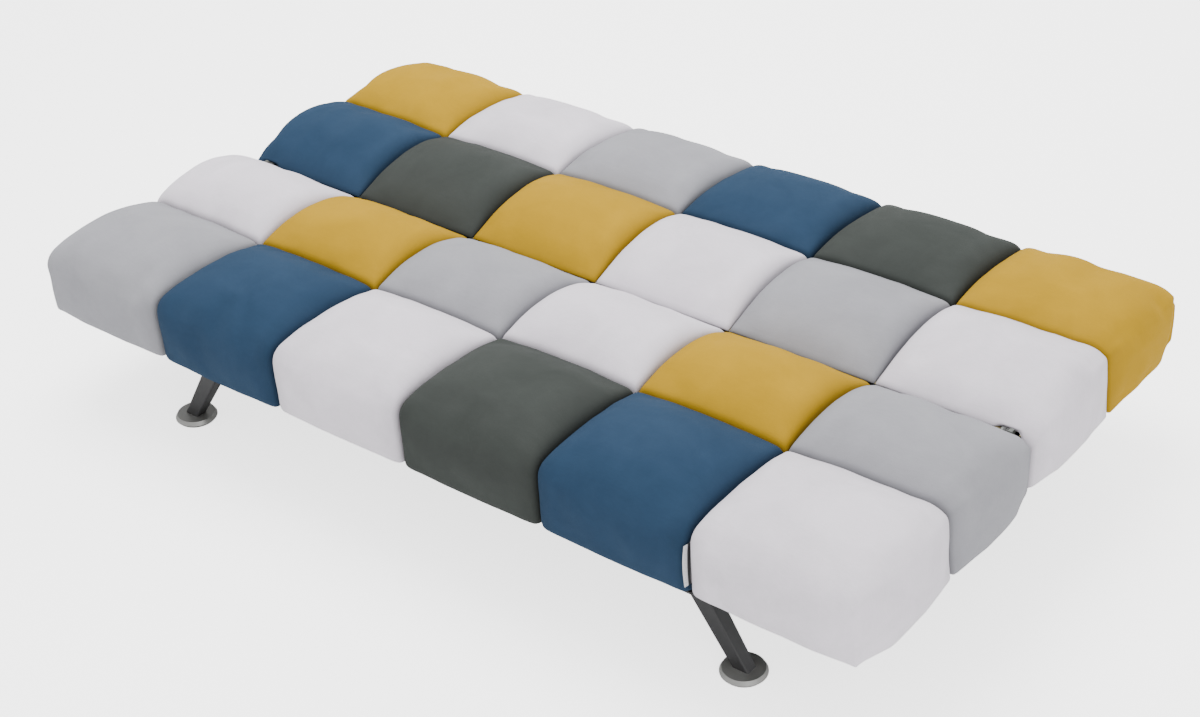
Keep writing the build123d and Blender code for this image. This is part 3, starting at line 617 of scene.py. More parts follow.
class HalfCover:
    """The sewn cover of one half: its lattice, its faces and its places in space."""

    def __init__(self, half, settings):
        self.half = half
        self.across, self.along, up = cover_lattice()
        cells = lattice_faces(self.across, self.along, up)
        index = {}
        self.faces = []
        self.patches = []
        for corners, column, row in cells:
            for corner in corners:
                index.setdefault(corner, len(index))
            self.faces.append([index[c] for c in corners])
            self.patches.append((column, row))
        self.lattice = np.array(list(index))
        i, j, k = self.lattice.T
        self.points = np.stack([self.across[i], self.along[j], up[k]], axis=1)
        placed = cast_cover(half, self.points, self.lattice, self.across, self.along)
        self.start = shape_lip(placed, index, self.across, self.along, up)
        to_seam = seam_distance(self.points, self.across, self.along)
        self.is_seam = to_seam < TINY
        self.far = np.minimum(to_seam, WALL_Y - self.points[:, 1])
        self.is_held = self.held_points()
        self.shaped = self.swollen(settings)

    def held_points(self):
        """Seams, the hem, the edges at the valley and the low corner seams, which stay put."""
        i, j, k = self.lattice.T
        z = self.points[:, 2]
        valley = j >= len(self.along) - 2
        corner = (j == 0) & ((i == 0) | (i == len(self.across) - 1)) & (z < CREASE_TOP)
        return self.is_seam | (z < LOW_Z + TINY) | valley | corner

    def swollen(self, settings):
        """Pulls the seams in, then lets cloth under pressure settle between them."""
        body = new_object(self.half + "_cloth", self.start, self.faces)
        normals = read_vectors(body.data, "normal")
        places = self.start.copy()
        self.shape_hem(places, settings)
        if self.half == "backrest":
            self.lower_shoulder(places, settings)
        self.crease_corners(places, settings)
        i, j, k = self.lattice.T
        crossing = np.isin(i, list(SEAM_COLUMNS)) & (j == ROW_CELLS)
        pull = np.where(self.is_seam, settings.seam_pull, 0.0)
        pull += np.where(crossing, settings.crossing_pull, 0.0)
        places -= normals * pull[:, None]
        free = ~self.is_held
        inset = settings.start_inset if self.half == "seat" else settings.far_inset
        ease = np.clip(self.far / INSET_REACH, 0, 1) * inset
        places[free] -= normals[free] * ease[free, None]
        uneven = np.array([self.lumpiness(p) for p in places]) * settings.unevenness
        uneven *= np.clip(self.far / LUMP_REACH, 0, 1)
        places[free] += normals[free] * uneven[free, None]
        body.data.vertices.foreach_set("co", places.ravel())
        body.data.update()
        settled = self.simulated(body, settings)
        moved = self.evened(settled - places, settings.evening)
        length = np.linalg.norm(moved, axis=1)
        share = np.minimum(1.0, settings.swell_cap / np.maximum(length, TINY))
        places = places + moved * share[:, None]
        mesh = body.data
        bpy.data.objects.remove(body)
        bpy.data.meshes.remove(mesh)
        return self.inside_limits(places)

    def lumpiness(self, place):
        """How far the filling bulges at a place, from broad lumps and fine ones."""
        lift = np.array([0, 0, LUMP_SEEDS[self.half]])
        broad = noise.noise(Vector(place * BROAD_LUMPS + lift))
        fine = noise.noise(Vector(place * FINE_LUMPS + lift))
        return broad + FINE_SHARE * fine

    def crease_corners(self, places, settings):
        """Draws out the upright seams at the two outer corners, low down where they are crisp."""
        i, j, k = self.lattice.T
        steps = j + np.minimum(i, len(self.across) - 1 - i)
        low = np.clip((CREASE_TOP - self.points[:, 2]) / CREASE_FADE, 0, 1)
        share = np.select([steps == 0, steps == 1], [1.0, CREASE_SIDE_SHARE])
        out = settings.corner_crease * low * share
        places[:, 0] += np.copysign(out, places[:, 0])
        places[:, 1] -= out

    def evened(self, moved, rounds):
        """The movement averaged with that of the neighbours, which takes out small buckles."""
        quads = np.array(self.faces)
        sides = [quads[:, [a, b]] for a in range(4) for b in ((a + 1) % 4, (a + 3) % 4)]
        pairs = np.unique(np.concatenate(sides), axis=0)
        count = np.bincount(pairs[:, 0], minlength=len(moved))[:, None]
        for _ in range(rounds):
            total = np.zeros_like(moved)
            np.add.at(total, pairs[:, 0], moved[pairs[:, 1]])
            mean = (moved + total) / (count + 1)
            moved = np.where(self.is_held[:, None], moved, mean)
        return moved

    def shape_hem(self, places, settings):
        """The bottom of the sides: straighter, flared at the ends, and a little lower."""
        low = np.clip(1 - (places[:, 2] - LOW_Z) / settings.hem_reach, 0, 1) ** HEM_POWER
        front = np.clip(EDGE_Y - places[:, 1], 0, None)
        places[:, 1] += front * low * settings.hem_share
        outer_x = np.clip((np.abs(self.points[:, 0]) - CORE_X) / (END_X - CORE_X), 0, 1)
        ends = np.clip(np.abs(places[:, 0]) - END_X, 0, None) * settings.end_share
        corner = np.clip((self.points[:, 1] - EDGE_Y) / CORNER_REACH, 0, 1)
        valley = np.clip((WALL_Y - self.points[:, 1]) / CORNER_REACH, 0, 1)
        flare = settings.end_flare * outer_x * corner * valley
        places[:, 0] += np.copysign((flare - ends) * low, places[:, 0])
        outer_y = np.clip((CORE_Y - self.points[:, 1]) / (CORE_Y - EDGE_Y), 0, 1)
        from_corner = np.hypot(END_X - np.abs(self.points[:, 0]), self.points[:, 1] - EDGE_Y)
        full = np.clip(from_corner / CORNER_REACH, 0, 1)
        places[:, 2] -= settings.hem_drop * low * full * np.maximum(outer_x, outer_y)

    def lower_shoulder(self, places, settings):
        """The far row of the backrest half rounds off more than the front row does."""
        share = np.clip((-self.points[:, 1] - SHOULDER_Y) / (-EDGE_Y - SHOULDER_Y), 0, 1)
        share = share**2 * (3 - 2 * share)
        high = np.clip((places[:, 2] - FAN_Z) / (HIGH_Z - FAN_Z), 0, 1)
        places[:, 2] -= settings.shoulder_drop * share * high

    def simulated(self, body, settings):
        """Where the cloth settles under the pressure of its filling."""
        held = body.vertex_groups.new(name="held")
        held.add([int(n) for n in np.flatnonzero(self.is_held)], 1.0, "REPLACE")
        cloth = body.modifiers.new("Cloth", "CLOTH")
        rules = cloth.settings
        for name, value in CLOTH_RULES.items():
            setattr(rules, name, value)
        rules.bending_stiffness = settings.bending
        rules.vertex_group_mass = "held"
        rules.uniform_pressure_force = settings.pressure
        rules.shrink_min = -settings.slack
        rules.effector_weights.gravity = 0
        cloth.collision_settings.use_collision = False
        cloth.collision_settings.use_self_collision = False
        cloth.point_cache.frame_start = 1
        cloth.point_cache.frame_end = settings.frames
        scene = bpy.context.scene
        for number in range(1, settings.frames + 1):
            scene.frame_set(number)
        graph = bpy.context.evaluated_depsgraph_get()
        settled = read_vectors(body.evaluated_get(graph).data, "co")
        body.modifiers.clear()
        scene.frame_set(1)
        return settled

    def inside_limits(self, places):
        """Keeps the cover clear of the other half as it folds, and of the hinges."""
        limit = HINGE_Z + FOLD_SLOPE * np.abs(places[:, 1]) - FOLD_CLEAR
        places[:, 2] = np.minimum(places[:, 2], limit)
        places[:, 1] = np.minimum(places[:, 1], FACE_Y)
        return clear_of_hinges(places)

    def core(self):
        """Where the underside of each point's padding meets the frame and the foam."""
        places = self.points.copy()
        places[:, 0] = np.clip(places[:, 0], -CORE_X, CORE_X)
        places[:, 1] = np.clip(places[:, 1], CORE_Y, WALL_Y - CORE_CLEAR)
        places[:, 2] = np.clip(places[:, 2], LOW_Z + HEM_CLEAR, CORE_Z)
        at_hinge = np.abs(np.abs(places[:, 0]) - HINGE_X) < HINGE_HALF + HINGE_FADE
        over_leaf = at_hinge & (places[:, 1] > LEAF_Y) & (places[:, 2] > CORE_Z - TINY)
        places[over_leaf, 2] = LEAF_Z
        return clear_of_hinges(places)


def clear_of_hinges(places):
    """Moves points off the hinge axis, so that each hinge has its opening."""
    wide = np.abs(np.abs(places[:, 0]) - HINGE_X)
    needed = HINGE_CLEAR * np.clip((HINGE_HALF + HINGE_FADE - wide) / HINGE_FADE, 0, 1)
    away = places[:, 1:] - (0, HINGE_Z)
    length = np.linalg.norm(away, axis=1)
    close = length < needed
    away[close] *= (needed[close] / np.maximum(length[close], TINY))[:, None]
    places[close, 1:] = away[close] + (0, HINGE_Z)
    return places


def closed_shell(faces, count):
    """Faces of a sheet and of its copy, count points on, with walls between their edges."""
    sides = dict.fromkeys((a, b) for f in faces for a, b in zip(f, f[1:] + f[:1]))
    walls = [[b, a, a + count, b + count] for a, b in sides if (b, a) not in sides]
    return faces + walls + [[n + count for n in reversed(f)] for f in faces]


def patch_shell(cover, patch, core, settings):
    """One patch as a closed padded form: outside, underside and the walls at its seams."""
    faces = [f for f, p in zip(cover.faces, cover.patches) if p == patch]
    used = sorted({n for f in faces for n in f})
    local = {n: m for m, n in enumerate(used)}
    column, row = patch
    left = column * CELLS_A_PATCH
    right = left + CELLS_A_PATCH
    i, j, k = cover.lattice[used].T
    aside = np.zeros((len(used), 3))
    aside[(i == left) & (left in SEAM_COLUMNS), 0] = settings.seam_gap
    aside[(i == right) & (right in SEAM_COLUMNS), 0] = -settings.seam_gap
    aside[j == ROW_CELLS, 1] = -settings.seam_gap if row == "outer" else settings.seam_gap
    places = np.concatenate([cover.shaped[used] + aside, core[used] + aside])
    far = np.concatenate([cover.far[used], np.zeros(len(used))])
    return places, closed_shell([[local[n] for n in f] for f in faces], len(used)), far


def cloth_piece(cover, cloth, core, settings):
    """All patches of one cloth on a half, as one piece."""
    verts, faces, far, under = [], [], [], []
    start = 0
    for row, cloths in ROW_CLOTHS[cover.half].items():
        for column, name in enumerate(cloths):
            if name != cloth:
                continue
            places, shell, distance = patch_shell(cover, (column, row), core, settings)
            verts.append(places)
            faces.extend([start + n for n in f] for f in shell)
            far.append(distance)
            under.extend(range(start + len(places) // 2, start + len(places)))
            start += len(places)
    places = np.concatenate(verts)
    if cover.half == "backrest":
        places[:, 1] *= -1
        faces = [f[::-1] for f in faces]
    obj = new_object(f"cover_{cover.half}_{cloth}", places, faces)
    # Share of the way to the nearest seam, which the cloth's painted crease shade reads
    share = obj.data.attributes.new("seam_shade_share", "FLOAT", "POINT")
    share.data.foreach_set("value", np.clip(np.concatenate(far) / CREASE_SHADE_REACH, 0, 1))
    with edited(obj) as work:
        work.verts.ensure_lookup_table()
        below = [work.verts[n] for n in under]
        bmesh.ops.remove_doubles(work, verts=below, dist=UNDERSIDE_MERGE)
        bmesh.ops.dissolve_degenerate(work, edges=work.edges, dist=SHORTEST_EDGE)
    return obj


# Rows of stitches and staples


def row_tree(name):
    """Geometry nodes that lay short bows of thread or wire along a line in a level plane."""
    tree = bpy.data.node_groups.new(name, "GeometryNodeTree")
    face = tree.interface
    face.new_socket("Geometry", in_out="INPUT", socket_type="NodeSocketGeometry")
    for label in ("Spacing", "Length", "Bow", "Thickness"):
        face.new_socket(label, in_out="INPUT", socket_type="NodeSocketFloat")
    face.new_socket("Material", in_out="INPUT", socket_type="NodeSocketMaterial")
    face.new_socket("Geometry", in_out="OUTPUT", socket_type="NodeSocketGeometry")

    def add(kind, output, inputs, **rules):
        return add_node(tree, kind, inputs, **rules).outputs[output]

    given = tree.nodes.new("NodeGroupInput").outputs
    path = add("GeometryNodeMeshToCurve", "Curve", {"Mesh": given["Geometry"]})
    spaced = {"Curve": path, "Length": given["Spacing"]}
    even = add("GeometryNodeResampleCurve", "Curve", spaced, mode="LENGTH")
    shares = (("Start", "X", "Length", -0.5), ("Middle", "Z", "Bow", 1.0), ("End", "X", "Length", 0.5))
    ends = {}
    for end, direction, label, share in shares:
        part = add("ShaderNodeMath", 0, {0: given[label], 1: share}, operation="MULTIPLY")
        ends[end] = add("ShaderNodeCombineXYZ", 0, {direction: part})
    bow = add("GeometryNodeCurveQuadraticBezier", "Curve", {"Resolution": 5, **ends})
    round_wire = {"Resolution": 6, "Radius": given["Thickness"]}
    ring = add("GeometryNodeCurvePrimitiveCircle", "Curve", round_wire)
    swept = {"Curve": bow, "Profile Curve": ring, "Fill Caps": True}
    wire = add("GeometryNodeCurveToMesh", "Mesh", swept)
    tangent = {"Vector": add("GeometryNodeInputTangent", "Tangent", {})}
    axes = {"axis": "X", "pivot_axis": "Z"}
    turn = add("FunctionNodeAlignRotationToVector", "Rotation", tangent, **axes)
    laid = {"Points": even, "Instance": wire, "Rotation": turn}
    spread = add("GeometryNodeInstanceOnPoints", "Instances", laid)
    real = add("GeometryNodeRealizeInstances", "Geometry", {"Geometry": spread})
    painted = {"Geometry": real, "Material": given["Material"]}
    result = tree.nodes.new("NodeGroupOutput").inputs["Geometry"]
    tree.links.new(add("GeometryNodeSetMaterial", "Geometry", painted), result)
    return tree


def row_along(name, tree, path, **inputs):
    """Bows along an open or closed path of points, as a plain mesh."""
    obj = new_object(name, path, [], [(n, n + 1) for n in range(len(path) - 1)])
    nodes = obj.modifiers.new("Row", "NODES")
    nodes.node_group = tree
    for item in tree.interface.items_tree:
        if item.in_out == "INPUT" and item.name in inputs:
            nodes[item.identifier] = inputs[item.name]
    return flattened(obj)


# Settings


def colour_property(name, description, default):
    rules = {"subtype": "COLOR_GAMMA", "size": 3, "min": 0, "max": 1}
    return bpy.props.FloatVectorProperty(name=name, description=description, default=default, **rules)


def number_property(name, description, default, **more):
    return bpy.props.FloatProperty(name=name, description=description, default=default, min=0, **more)


def length_property(name, description, default):
    return number_property(name, description, default, subtype="DISTANCE", unit="LENGTH", precision=4)


def count_property(name, description, default):
    return bpy.props.IntProperty(name=name, description=description, default=default, min=1)


def power_property(name, description, default):
    return number_property(name, description, default, subtype="POWER", unit="POWER")


class CoverSettings(bpy.types.PropertyGroup):
    blue: colour_property("Blue", "Colour of the blue patches", (0.135, 0.222, 0.312))
    dark: colour_property("Dark", "Colour of the dark patches", (0.215, 0.23, 0.22))
    yellow: colour_property("Yellow", "Colour of the yellow patches", (0.66, 0.515, 0.075))
    light: colour_property("Light", "Colour of the light patches", (0.87, 0.845, 0.88))
    grey: colour_property("Grey", "Colour of the grey patches", (0.575, 0.575, 0.595))
    seam_pull: length_property("Seam pull", "How far the seams are drawn in", 0.0045)
    crossing_pull: length_property("Crossing pull", "How much further in the crossings are", 0.0015)
    seam_gap: length_property("Seam gap", "Half the gap between two patches", 0.0006)
    start_inset: length_property("Start inset", "How much smaller the seat's cloth starts", 0.003)
    far_inset: length_property("Far inset", "How much smaller the backrest's cloth starts", 0.008)
    hem_reach: length_property("Hem reach", "Height over which the hem draws the sides in", 0.11)
    hem_drop: length_property("Hem drop", "How far the hem hangs below the frame", 0.006)
    hem_share: number_property("Hem share", "Share of the front's swell that the hem takes away", 0.4)
    end_share: number_property("End share", "Share of the ends' swell that the hem takes away", 0.35)
    end_flare: length_property("End flare", "How far the hem stands out at the ends", 0.011)
    shoulder_drop: length_property("Shoulder drop", "How much lower the far shoulder is", 0.016)
    corner_crease: length_property("Corner crease", "How far the corner seams stand out", 0.002)
    unevenness: length_property("Unevenness", "How uneven the filling is", 0.0013)
    swell_cap: length_property("Swell cap", "The most that a point may move", 0.012)
    pressure: number_property("Pressure", "Pressure of the filling", 4.0)
    slack: number_property("Slack", "Spare length of the cloth, as a share", 0.03)
    bending: number_property("Bending", "Bending stiffness of the cloth", 0.6)
    frames: count_property("Frames", "Frames that the cloth settles for", 20)
    evening: count_property("Evening", "Rounds of evening out the cloth's buckles", 5)


class SewingSettings(bpy.types.PropertyGroup):
    stitch_spacing: length_property("Stitch spacing", "From stitch to stitch", 0.0055)
    stitch_length: length_property("Stitch length", "Length of one stitch", 0.0038)
    stitch_bow: length_property("Stitch bow", "How far a stitch bows out", 0.0008)
    stitch_place: length_property("Stitch place", "From the frame's sides to the stitches", 0.004)
    thread: length_property("Thread", "Radius of the thread", 0.00035)
    stitch_drop: length_property("Stitch drop", "How far the stitches lie below the frame", 0.0013)
    staple_spacing: length_property("Staple spacing", "From staple to staple", 0.042)
    staple_length: length_property("Staple length", "Width of a staple's crown", 0.011)
    staple_bow: length_property("Staple bow", "How far a staple bows out", 0.0012)
    staple_wire: length_property("Staple wire", "Radius of a staple's wire", 0.0006)
    staple_inset: length_property("Staple inset", "How far in the staples are", 0.011)
    sag: length_property("Sag", "How far the dust covers hang between the rails", 0.0025)
    lining_sag: length_property("Lining sag", "How far the inner linings give between the rails", 0.0006)


class StageSettings(bpy.types.PropertyGroup):
    floor: colour_property("Floor", "Colour of the floor", (0.98, 0.98, 0.98))
    key: power_property("Key light", "Power of the main light", 190.0)
    fill: power_property("Fill light", "Power of the fill lights", 75.0)
    sky: number_property("Sky", "Strength of the light from all round", 1.25)
    glow: number_property("Glow", "How much brighter the floor looks", 2.4)


# Operators, one for each piece or group of like pieces


class SOFABED_OT_cover(bpy.types.Operator):
    """Sews and fills the patchwork covers of both halves"""

    bl_idname = "sofabed.cover"
    bl_label = "Patchwork Covers"

    def execute(self, context):
        settings = context.scene.sofabed_cover
        finishes = {}
        for cloth in CLOTHS:
            finishes[cloth] = cloth_finish("cloth " + cloth, getattr(settings, cloth))
        for half in HALVES:
            cover = HalfCover(half, settings)
            core = cover.core()
            for cloth in CLOTHS:
                obj = cloth_piece(cover, cloth, core, settings)
                set_material(obj, finishes[cloth])
                subdivided(obj)
                shade_smooth(obj)
                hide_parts(f"{half}_patches_{cloth}")
                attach(obj, half)
        return {"FINISHED"}


class SOFABED_OT_filling(bpy.types.Operator):
    """Foam blocks and felt pads of both halves"""

    bl_idname = "sofabed.filling"
    bl_label = "Foam and Felt"

    def execute(self, context):
        foam = foam_finish("cut foam", (0.86, 0.80, 0.60))
        shades = ((0.27, 0.28, 0.31), (0.46, 0.47, 0.49), (0.55, 0.36, 0.30))
        felt = felt_finish("needled felt", *shades)
        for half in HALVES:
            block = node_copy(half + "_foam", half + "_foam_block")
            soften(block, FOAM_ROUND)
            set_material(block, foam)
            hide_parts(half + "_foam")
            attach(block, half)
            pad = node_copy(half + "_spring_felt", half + "_felt_pad")
            soften(pad, FELT_ROUND)
            set_material(pad, felt)
            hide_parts(half + "_spring_felt")
            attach(pad, half)
        return {"FINISHED"}


def soften(obj, width):
    """Rounds every sharp edge of a piece."""
    edge = obj.modifiers.new("Bevel", "BEVEL")
    edge.width = width
    edge.segments = 2
    edge.limit_method = "ANGLE"
    edge.angle_limit = math.radians(40)
    shade_smooth(flattened(obj))


class SOFABED_OT_linings(bpy.types.Operator):
    """Dust covers underneath and linings on the inner walls, with their staples"""

    bl_idname = "sofabed.linings"
    bl_label = "Linings"

    def execute(self, context):
        settings = context.scene.sofabed_sewing
        cloth = lining_finish("black lining", (0.09, 0.09, 0.10))
        wire = metal_finish("staple wire", (0.72, 0.72, 0.70), 0.35, 1.0, 0.0001)
        tree = row_tree("Row of staples")
        for half in HALVES:
            for part in ("dust_cover", "inner_lining"):
                node = f"{half}_{part}"
                piece = lining_sheet(node, settings)
                set_material(piece, cloth)
                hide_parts(node)
                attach(piece, half)
            staples = dust_cover_staples(half, tree, wire, settings)
            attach(staples, half)
        return {"FINISHED"}


def lining_sheet(node, settings):
    """A copy of a lining with enough points to hang a little between its rails."""
    obj = node_copy(node, node + "_cloth")
    low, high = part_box(node)
    flat = "dust" in node
    middle = (low + high) / 2
    half_size = (high - low) / 2
    width = 1 if flat else 2
    inward = 1 if middle.y > 0 else -1
    with edited(obj) as work:
        bmesh.ops.triangulate(work, faces=work.faces)
        for _ in range(MOST_CUTS):
            long_edges = [e for e in work.edges if e.calc_length() > LINING_CELL]
            if not long_edges:
                break
            bmesh.ops.subdivide_edges(work, edges=long_edges, cuts=1)
            bmesh.ops.triangulate(work, faces=work.faces)
        for vert in work.verts:
            x = (vert.co.x - middle.x) / half_size.x
            across = (vert.co[width] - middle[width]) / half_size[width]
            hang = max(0.0, (1 - x**4) * (1 - across**2))
            ripple = noise.noise(Vector((*(vert.co.xy * LINING_RIPPLES), RIPPLE_SEED)))
            hang *= 1 - RIPPLE_SHARE * (1 - ripple)
            if flat:
                vert.co.z -= settings.sag * hang
            elif vert.co.z < high.z - LINING_EDGE:
                vert.co.y += inward * settings.lining_sag * hang
    shade_smooth(obj)
    return obj


def dust_cover_staples(half, tree, wire, settings):
    low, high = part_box(half + "_dust_cover")
    inset = settings.staple_inset
    z = low.z - STAPLE_CLEAR
    ends = [(low.x + inset, high.x - inset), (low.y + inset, high.y - inset)]
    turns = ((0, 0), (1, 0), (1, 1), (0, 1), (0, 0))
    sizes = {"Spacing": settings.staple_spacing, "Length": settings.staple_length}
    sizes.update({"Bow": -settings.staple_bow, "Thickness": settings.staple_wire})
    path = [(ends[0][a], ends[1][b], z) for a, b in turns]
    return row_along(half + "_staples", tree, path, Material=wire, **sizes)


class SOFABED_OT_stitches(bpy.types.Operator):
    """The row of stitches round each hem, underneath"""

    bl_idname = "sofabed.stitches"
    bl_label = "Hem Stitches"

    def execute(self, context):
        settings = context.scene.sofabed_sewing
        thread = thread_finish("hem thread", (0.30, 0.30, 0.31))
        tree = row_tree("Row of stitches")
        for half in HALVES:
            side = -1 if half == "seat" else 1
            x = CORE_X + settings.stitch_place
            y = -side * (CORE_Y - settings.stitch_place)
            start = side * STITCH_START
            corner = LOW_Z - THREAD_CLEAR
            low = corner - settings.stitch_drop
            inner_x = x - CORNER_REACH
            inner_y = y - side * CORNER_REACH
            path = [(-x, start, low), (-x, inner_y, low), (-x, y, corner), (-inner_x, y, low)]
            path.extend((-px, py, pz) for px, py, pz in path[::-1])
            sizes = {"Spacing": settings.stitch_spacing, "Length": settings.stitch_length}
            sizes.update({"Bow": -settings.stitch_bow, "Thickness": settings.thread})
            row = row_along(half + "_hem_stitches", tree, path, Material=thread, **sizes)
            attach(row, half)
        return {"FINISHED"}


class SOFABED_OT_tag(bpy.types.Operator):
    """The plain woven tag in the front seam"""

    bl_idname = "sofabed.tag"
    bl_label = "Sewn Tag"

    def execute(self, context):
        low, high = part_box("side_tag")
        rows, steps = 24, 8
        verts, faces = [], []
        depth = high.y - low.y
        for aside in (0, TAG_THICK):
            for r in range(rows + 1):
                z = low.z + (high.z - low.z) * r / rows
                for s in range(steps + 1):
                    out = s / steps
                    curl = TAG_CURL * out**2 + TAG_BELLY * math.sin(r / rows * math.pi) * out
                    verts.append((low.x - curl + aside, high.y - depth * out, z))
        line = steps + 1
        for r in range(rows):
            for a in range(r * line, r * line + steps):
                faces.append([a + line, a + line + 1, a + 1, a])
        obj = new_object("front_tag", verts, closed_shell(faces, (rows + 1) * line))
        with edited(obj) as work:
            bmesh.ops.recalc_face_normals(work, faces=work.faces)
        shade_smooth(obj)
        set_material(obj, tag_finish("woven tag", low, high))
        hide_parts("side_tag")
        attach(obj, "seat")
        return {"FINISHED"}


class SOFABED_OT_metalwork(bpy.types.Operator):
    """Finishes of the legs, feet, base, hinges, springs and fastenings"""

    bl_idname = "sofabed.metalwork"
    bl_label = "Metalwork"

    def execute(self, context):
        graphite = metal_finish("graphite paint", (0.17, 0.17, 0.175), 0.45, 0.3, 0.0001, coat=0.15)
        brushed = metal_finish("brushed steel", (0.62, 0.62, 0.61), 0.5, 0.75, 0.0001)
        zinc = metal_finish("zinc plate", (0.68, 0.69, 0.70), 0.42, 1.0, 0.00012)
        dark = metal_finish("graphite plate", (0.2, 0.2, 0.2), 0.5, 0.5, 0.0001)
        dull = metal_finish("dull zinc plate", (0.42, 0.43, 0.42), 0.6, 0.8, 0.00012)
        spring = metal_finish("oiled spring steel", (0.36, 0.36, 0.37), 0.34, 1.0, 0.0001)
        dressed = {
            graphite: ("base_side_rail", "base_cross_rail", "base_spacers", "leg_"),
            brushed: ("foot_discs",),
            zinc: ("base_bolts", "backrest_spring_clips", "seat_spring_clips"),
            dull: ("hinge_",),
            dark: ("hinge_seat_arm", "hinge_back_arm"),
            spring: ("seat_springs", "backrest_springs", "hinge_pawl_spring"),
        }
        dress_nodes(dressed)
        return {"FINISHED"}


class SOFABED_OT_frame_finish(bpy.types.Operator):
    """Finishes of the timber frames and of the plastic and rubber pieces"""

    bl_idname = "sofabed.frame_finish"
    bl_label = "Frames"

    def execute(self, context):
        shades = ((0.60, 0.44, 0.27), (0.80, 0.66, 0.45), (0.55, 0.37, 0.20))
        timber = timber_finish("sawn pine", *shades)
        rubber = moulded_finish("black rubber", (0.10, 0.10, 0.10), 0.8, 0.0002)
        plastic = moulded_finish("black plastic", (0.12, 0.12, 0.12), 0.5, 0.0001)
        rails = ("outer_rail", "inner_rail", "end_rails", "braces")
        dressed = {
            timber: tuple(f"{half}_{rail}" for half in HALVES for rail in rails),
            rubber: ("backrest_bumpers", "foot_glides"),
            plastic: ("base_end_caps",),
        }
        dress_nodes(dressed)
        return {"FINISHED"}


def dress_nodes(dressed):
    """Gives CAD nodes whose names start with these words their material."""
    for material, starts in dressed.items():
        for name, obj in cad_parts.items():
            if name.startswith(starts):
                if not obj.material_slots:
                    obj.data.materials.append(material)
                for slot in obj.material_slots:
                    slot.link = "OBJECT"
                    slot.material = material


# Camera and light, fitted to the corners where the patches meet

CAMERA_PLACE = (2.0617, -2.5105, 2.2264)
CAMERA_AZIMUTH = 39.3124
CAMERA_ELEVATION = 32.8851
CAMERA_ROLL = -2.8756
CAMERA_LENS = 61.33


class SOFABED_OT_stage(bpy.types.Operator):
    """Floor, lights and camera"""

    bl_idname = "sofabed.stage"
    bl_label = "Stage"

    def execute(self, context):
        settings = context.scene.sofabed_stage
        floor = new_object("floor", [(-9, -9, 0), (9, -9, 0), (9, 9, 0), (-9, 9, 0)], [(0, 1, 2, 3)])
        made = Finish("pale floor")
        base = linear(settings.floor)
        made.feed(Base_Color=made.tones(made.noise(1.5, 2.0), base, 0.985, 1.0))
        seen = made.add("LightPath", "Is Camera Ray", {})
        made.feed(Emission_Strength=made.sum(seen, 0.0, settings.glow))
        made.set(Roughness=0.6, Specular_IOR_Level=0.1, Emission_Color=(*base, 1))
        set_material(floor, made.material)
        area_light("key", (-0.9, 0.4, 4.3), 3.2, settings.key)
        area_light("fill", (3.9, -2.3, 2.5), 3.0, settings.fill)
        area_light("back", (-1.0, 4.0, 3.2), 3.0, settings.fill)
        world = bpy.data.worlds.new("white studio")
        world.use_nodes = True
        light = world.node_tree.nodes["Background"]
        light.inputs["Color"].default_value = (1, 1, 1, 1)
        light.inputs["Strength"].default_value = settings.sky
        context.scene.world = world
        make_camera(context.scene)
        return {"FINISHED"}


def area_light(name, place, size, power):
    """A round soft light that looks at the middle of the bed."""
    data = bpy.data.lights.new(name, "AREA")
    data.shape = "DISK"
    data.size = size
    data.energy = power
    obj = bpy.data.objects.new(name, data)
    obj.location = place
    aim = Vector((0, 0, LOW_Z)) - Vector(place)
    obj.rotation_euler = aim.to_track_quat("-Z", "Y").to_euler()
    bpy.context.scene.collection.objects.link(obj)


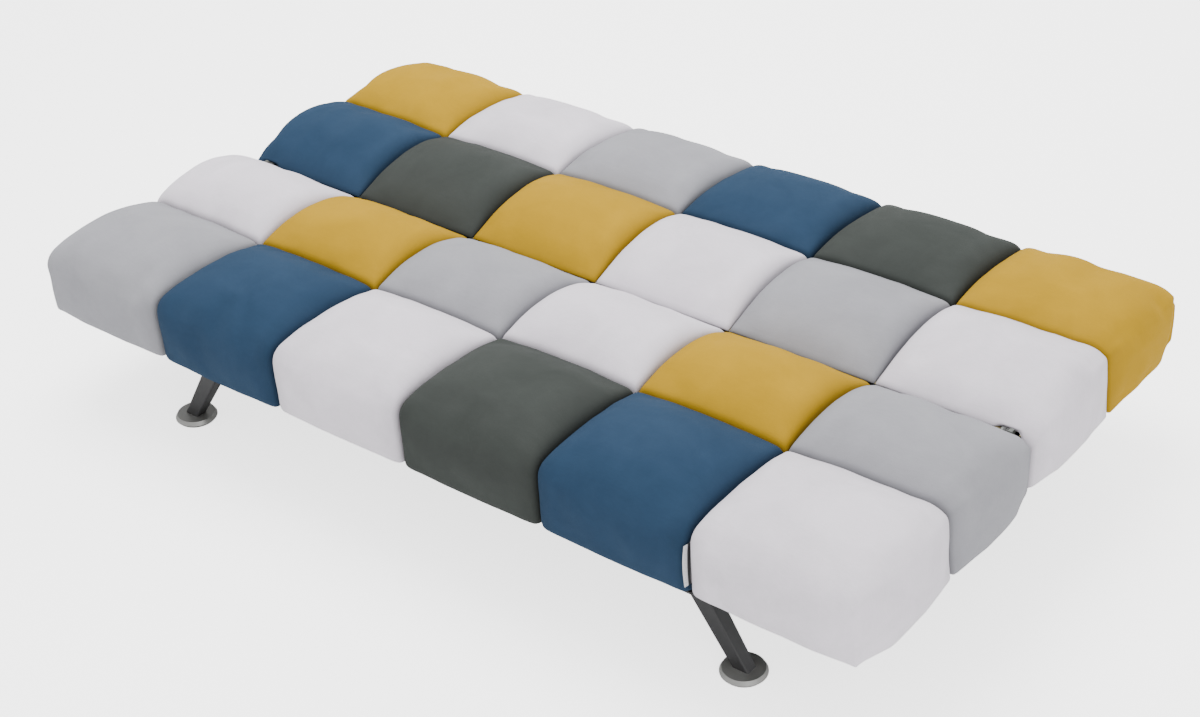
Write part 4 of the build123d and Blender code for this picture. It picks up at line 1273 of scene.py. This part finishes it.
def make_camera(scene):
    azimuth, elevation, roll = map(math.radians, (CAMERA_AZIMUTH, CAMERA_ELEVATION, CAMERA_ROLL))
    flat = math.cos(elevation)
    back = Vector((math.sin(azimuth) * flat, -math.cos(azimuth) * flat, math.sin(elevation)))
    level = Vector((math.cos(azimuth), math.sin(azimuth), 0))
    upright = back.cross(level)
    right = level * math.cos(roll) + upright * math.sin(roll)
    up = upright * math.cos(roll) - level * math.sin(roll)
    turn = Matrix((right, up, back)).transposed()
    data = bpy.data.cameras.new("camera")
    data.lens = CAMERA_LENS
    data.sensor_width = 36
    camera = bpy.data.objects.new("camera", data)
    camera.matrix_world = Matrix.Translation(CAMERA_PLACE) @ turn.to_4x4()
    scene.collection.objects.link(camera)
    scene.camera = camera


class SOFABED_PT_panel(bpy.types.Panel):
    """Lists the sofa bed's settings and operators"""

    bl_label = "Sofa Bed"
    bl_idname = "SOFABED_PT_panel"
    bl_space_type = "VIEW_3D"
    bl_region_type = "UI"
    bl_category = "Sofa Bed"

    def draw(self, context):
        for group, made in SETTINGS.items():
            box = self.layout.box()
            for name in made.__annotations__:
                box.prop(getattr(context.scene, group), name)
        for operator in OPERATORS:
            self.layout.operator(operator.bl_idname)


SETTINGS = {
    "sofabed_cover": CoverSettings,
    "sofabed_sewing": SewingSettings,
    "sofabed_stage": StageSettings,
}
OPERATORS = (
    SOFABED_OT_stage,
    SOFABED_OT_metalwork,
    SOFABED_OT_frame_finish,
    SOFABED_OT_cover,
    SOFABED_OT_filling,
    SOFABED_OT_linings,
    SOFABED_OT_stitches,
    SOFABED_OT_tag,
)


def register():
    for group in SETTINGS.values():
        bpy.utils.register_class(group)
    for name, group in SETTINGS.items():
        setattr(bpy.types.Scene, name, bpy.props.PointerProperty(type=group))
    for operator in OPERATORS:
        bpy.utils.register_class(operator)
    bpy.utils.register_class(SOFABED_PT_panel)


def unregister():
    bpy.utils.unregister_class(SOFABED_PT_panel)
    for operator in reversed(OPERATORS):
        bpy.utils.unregister_class(operator)
    for name in SETTINGS:
        delattr(bpy.types.Scene, name)
    for group in reversed(SETTINGS.values()):
        bpy.utils.unregister_class(group)


def main():
    register()
    bpy.ops.sofabed.stage()
    bpy.ops.sofabed.metalwork()
    bpy.ops.sofabed.frame_finish()
    bpy.ops.sofabed.cover()
    bpy.ops.sofabed.filling()
    bpy.ops.sofabed.linings()
    bpy.ops.sofabed.stitches()
    bpy.ops.sofabed.tag()


if __name__ == "__main__":
    main()
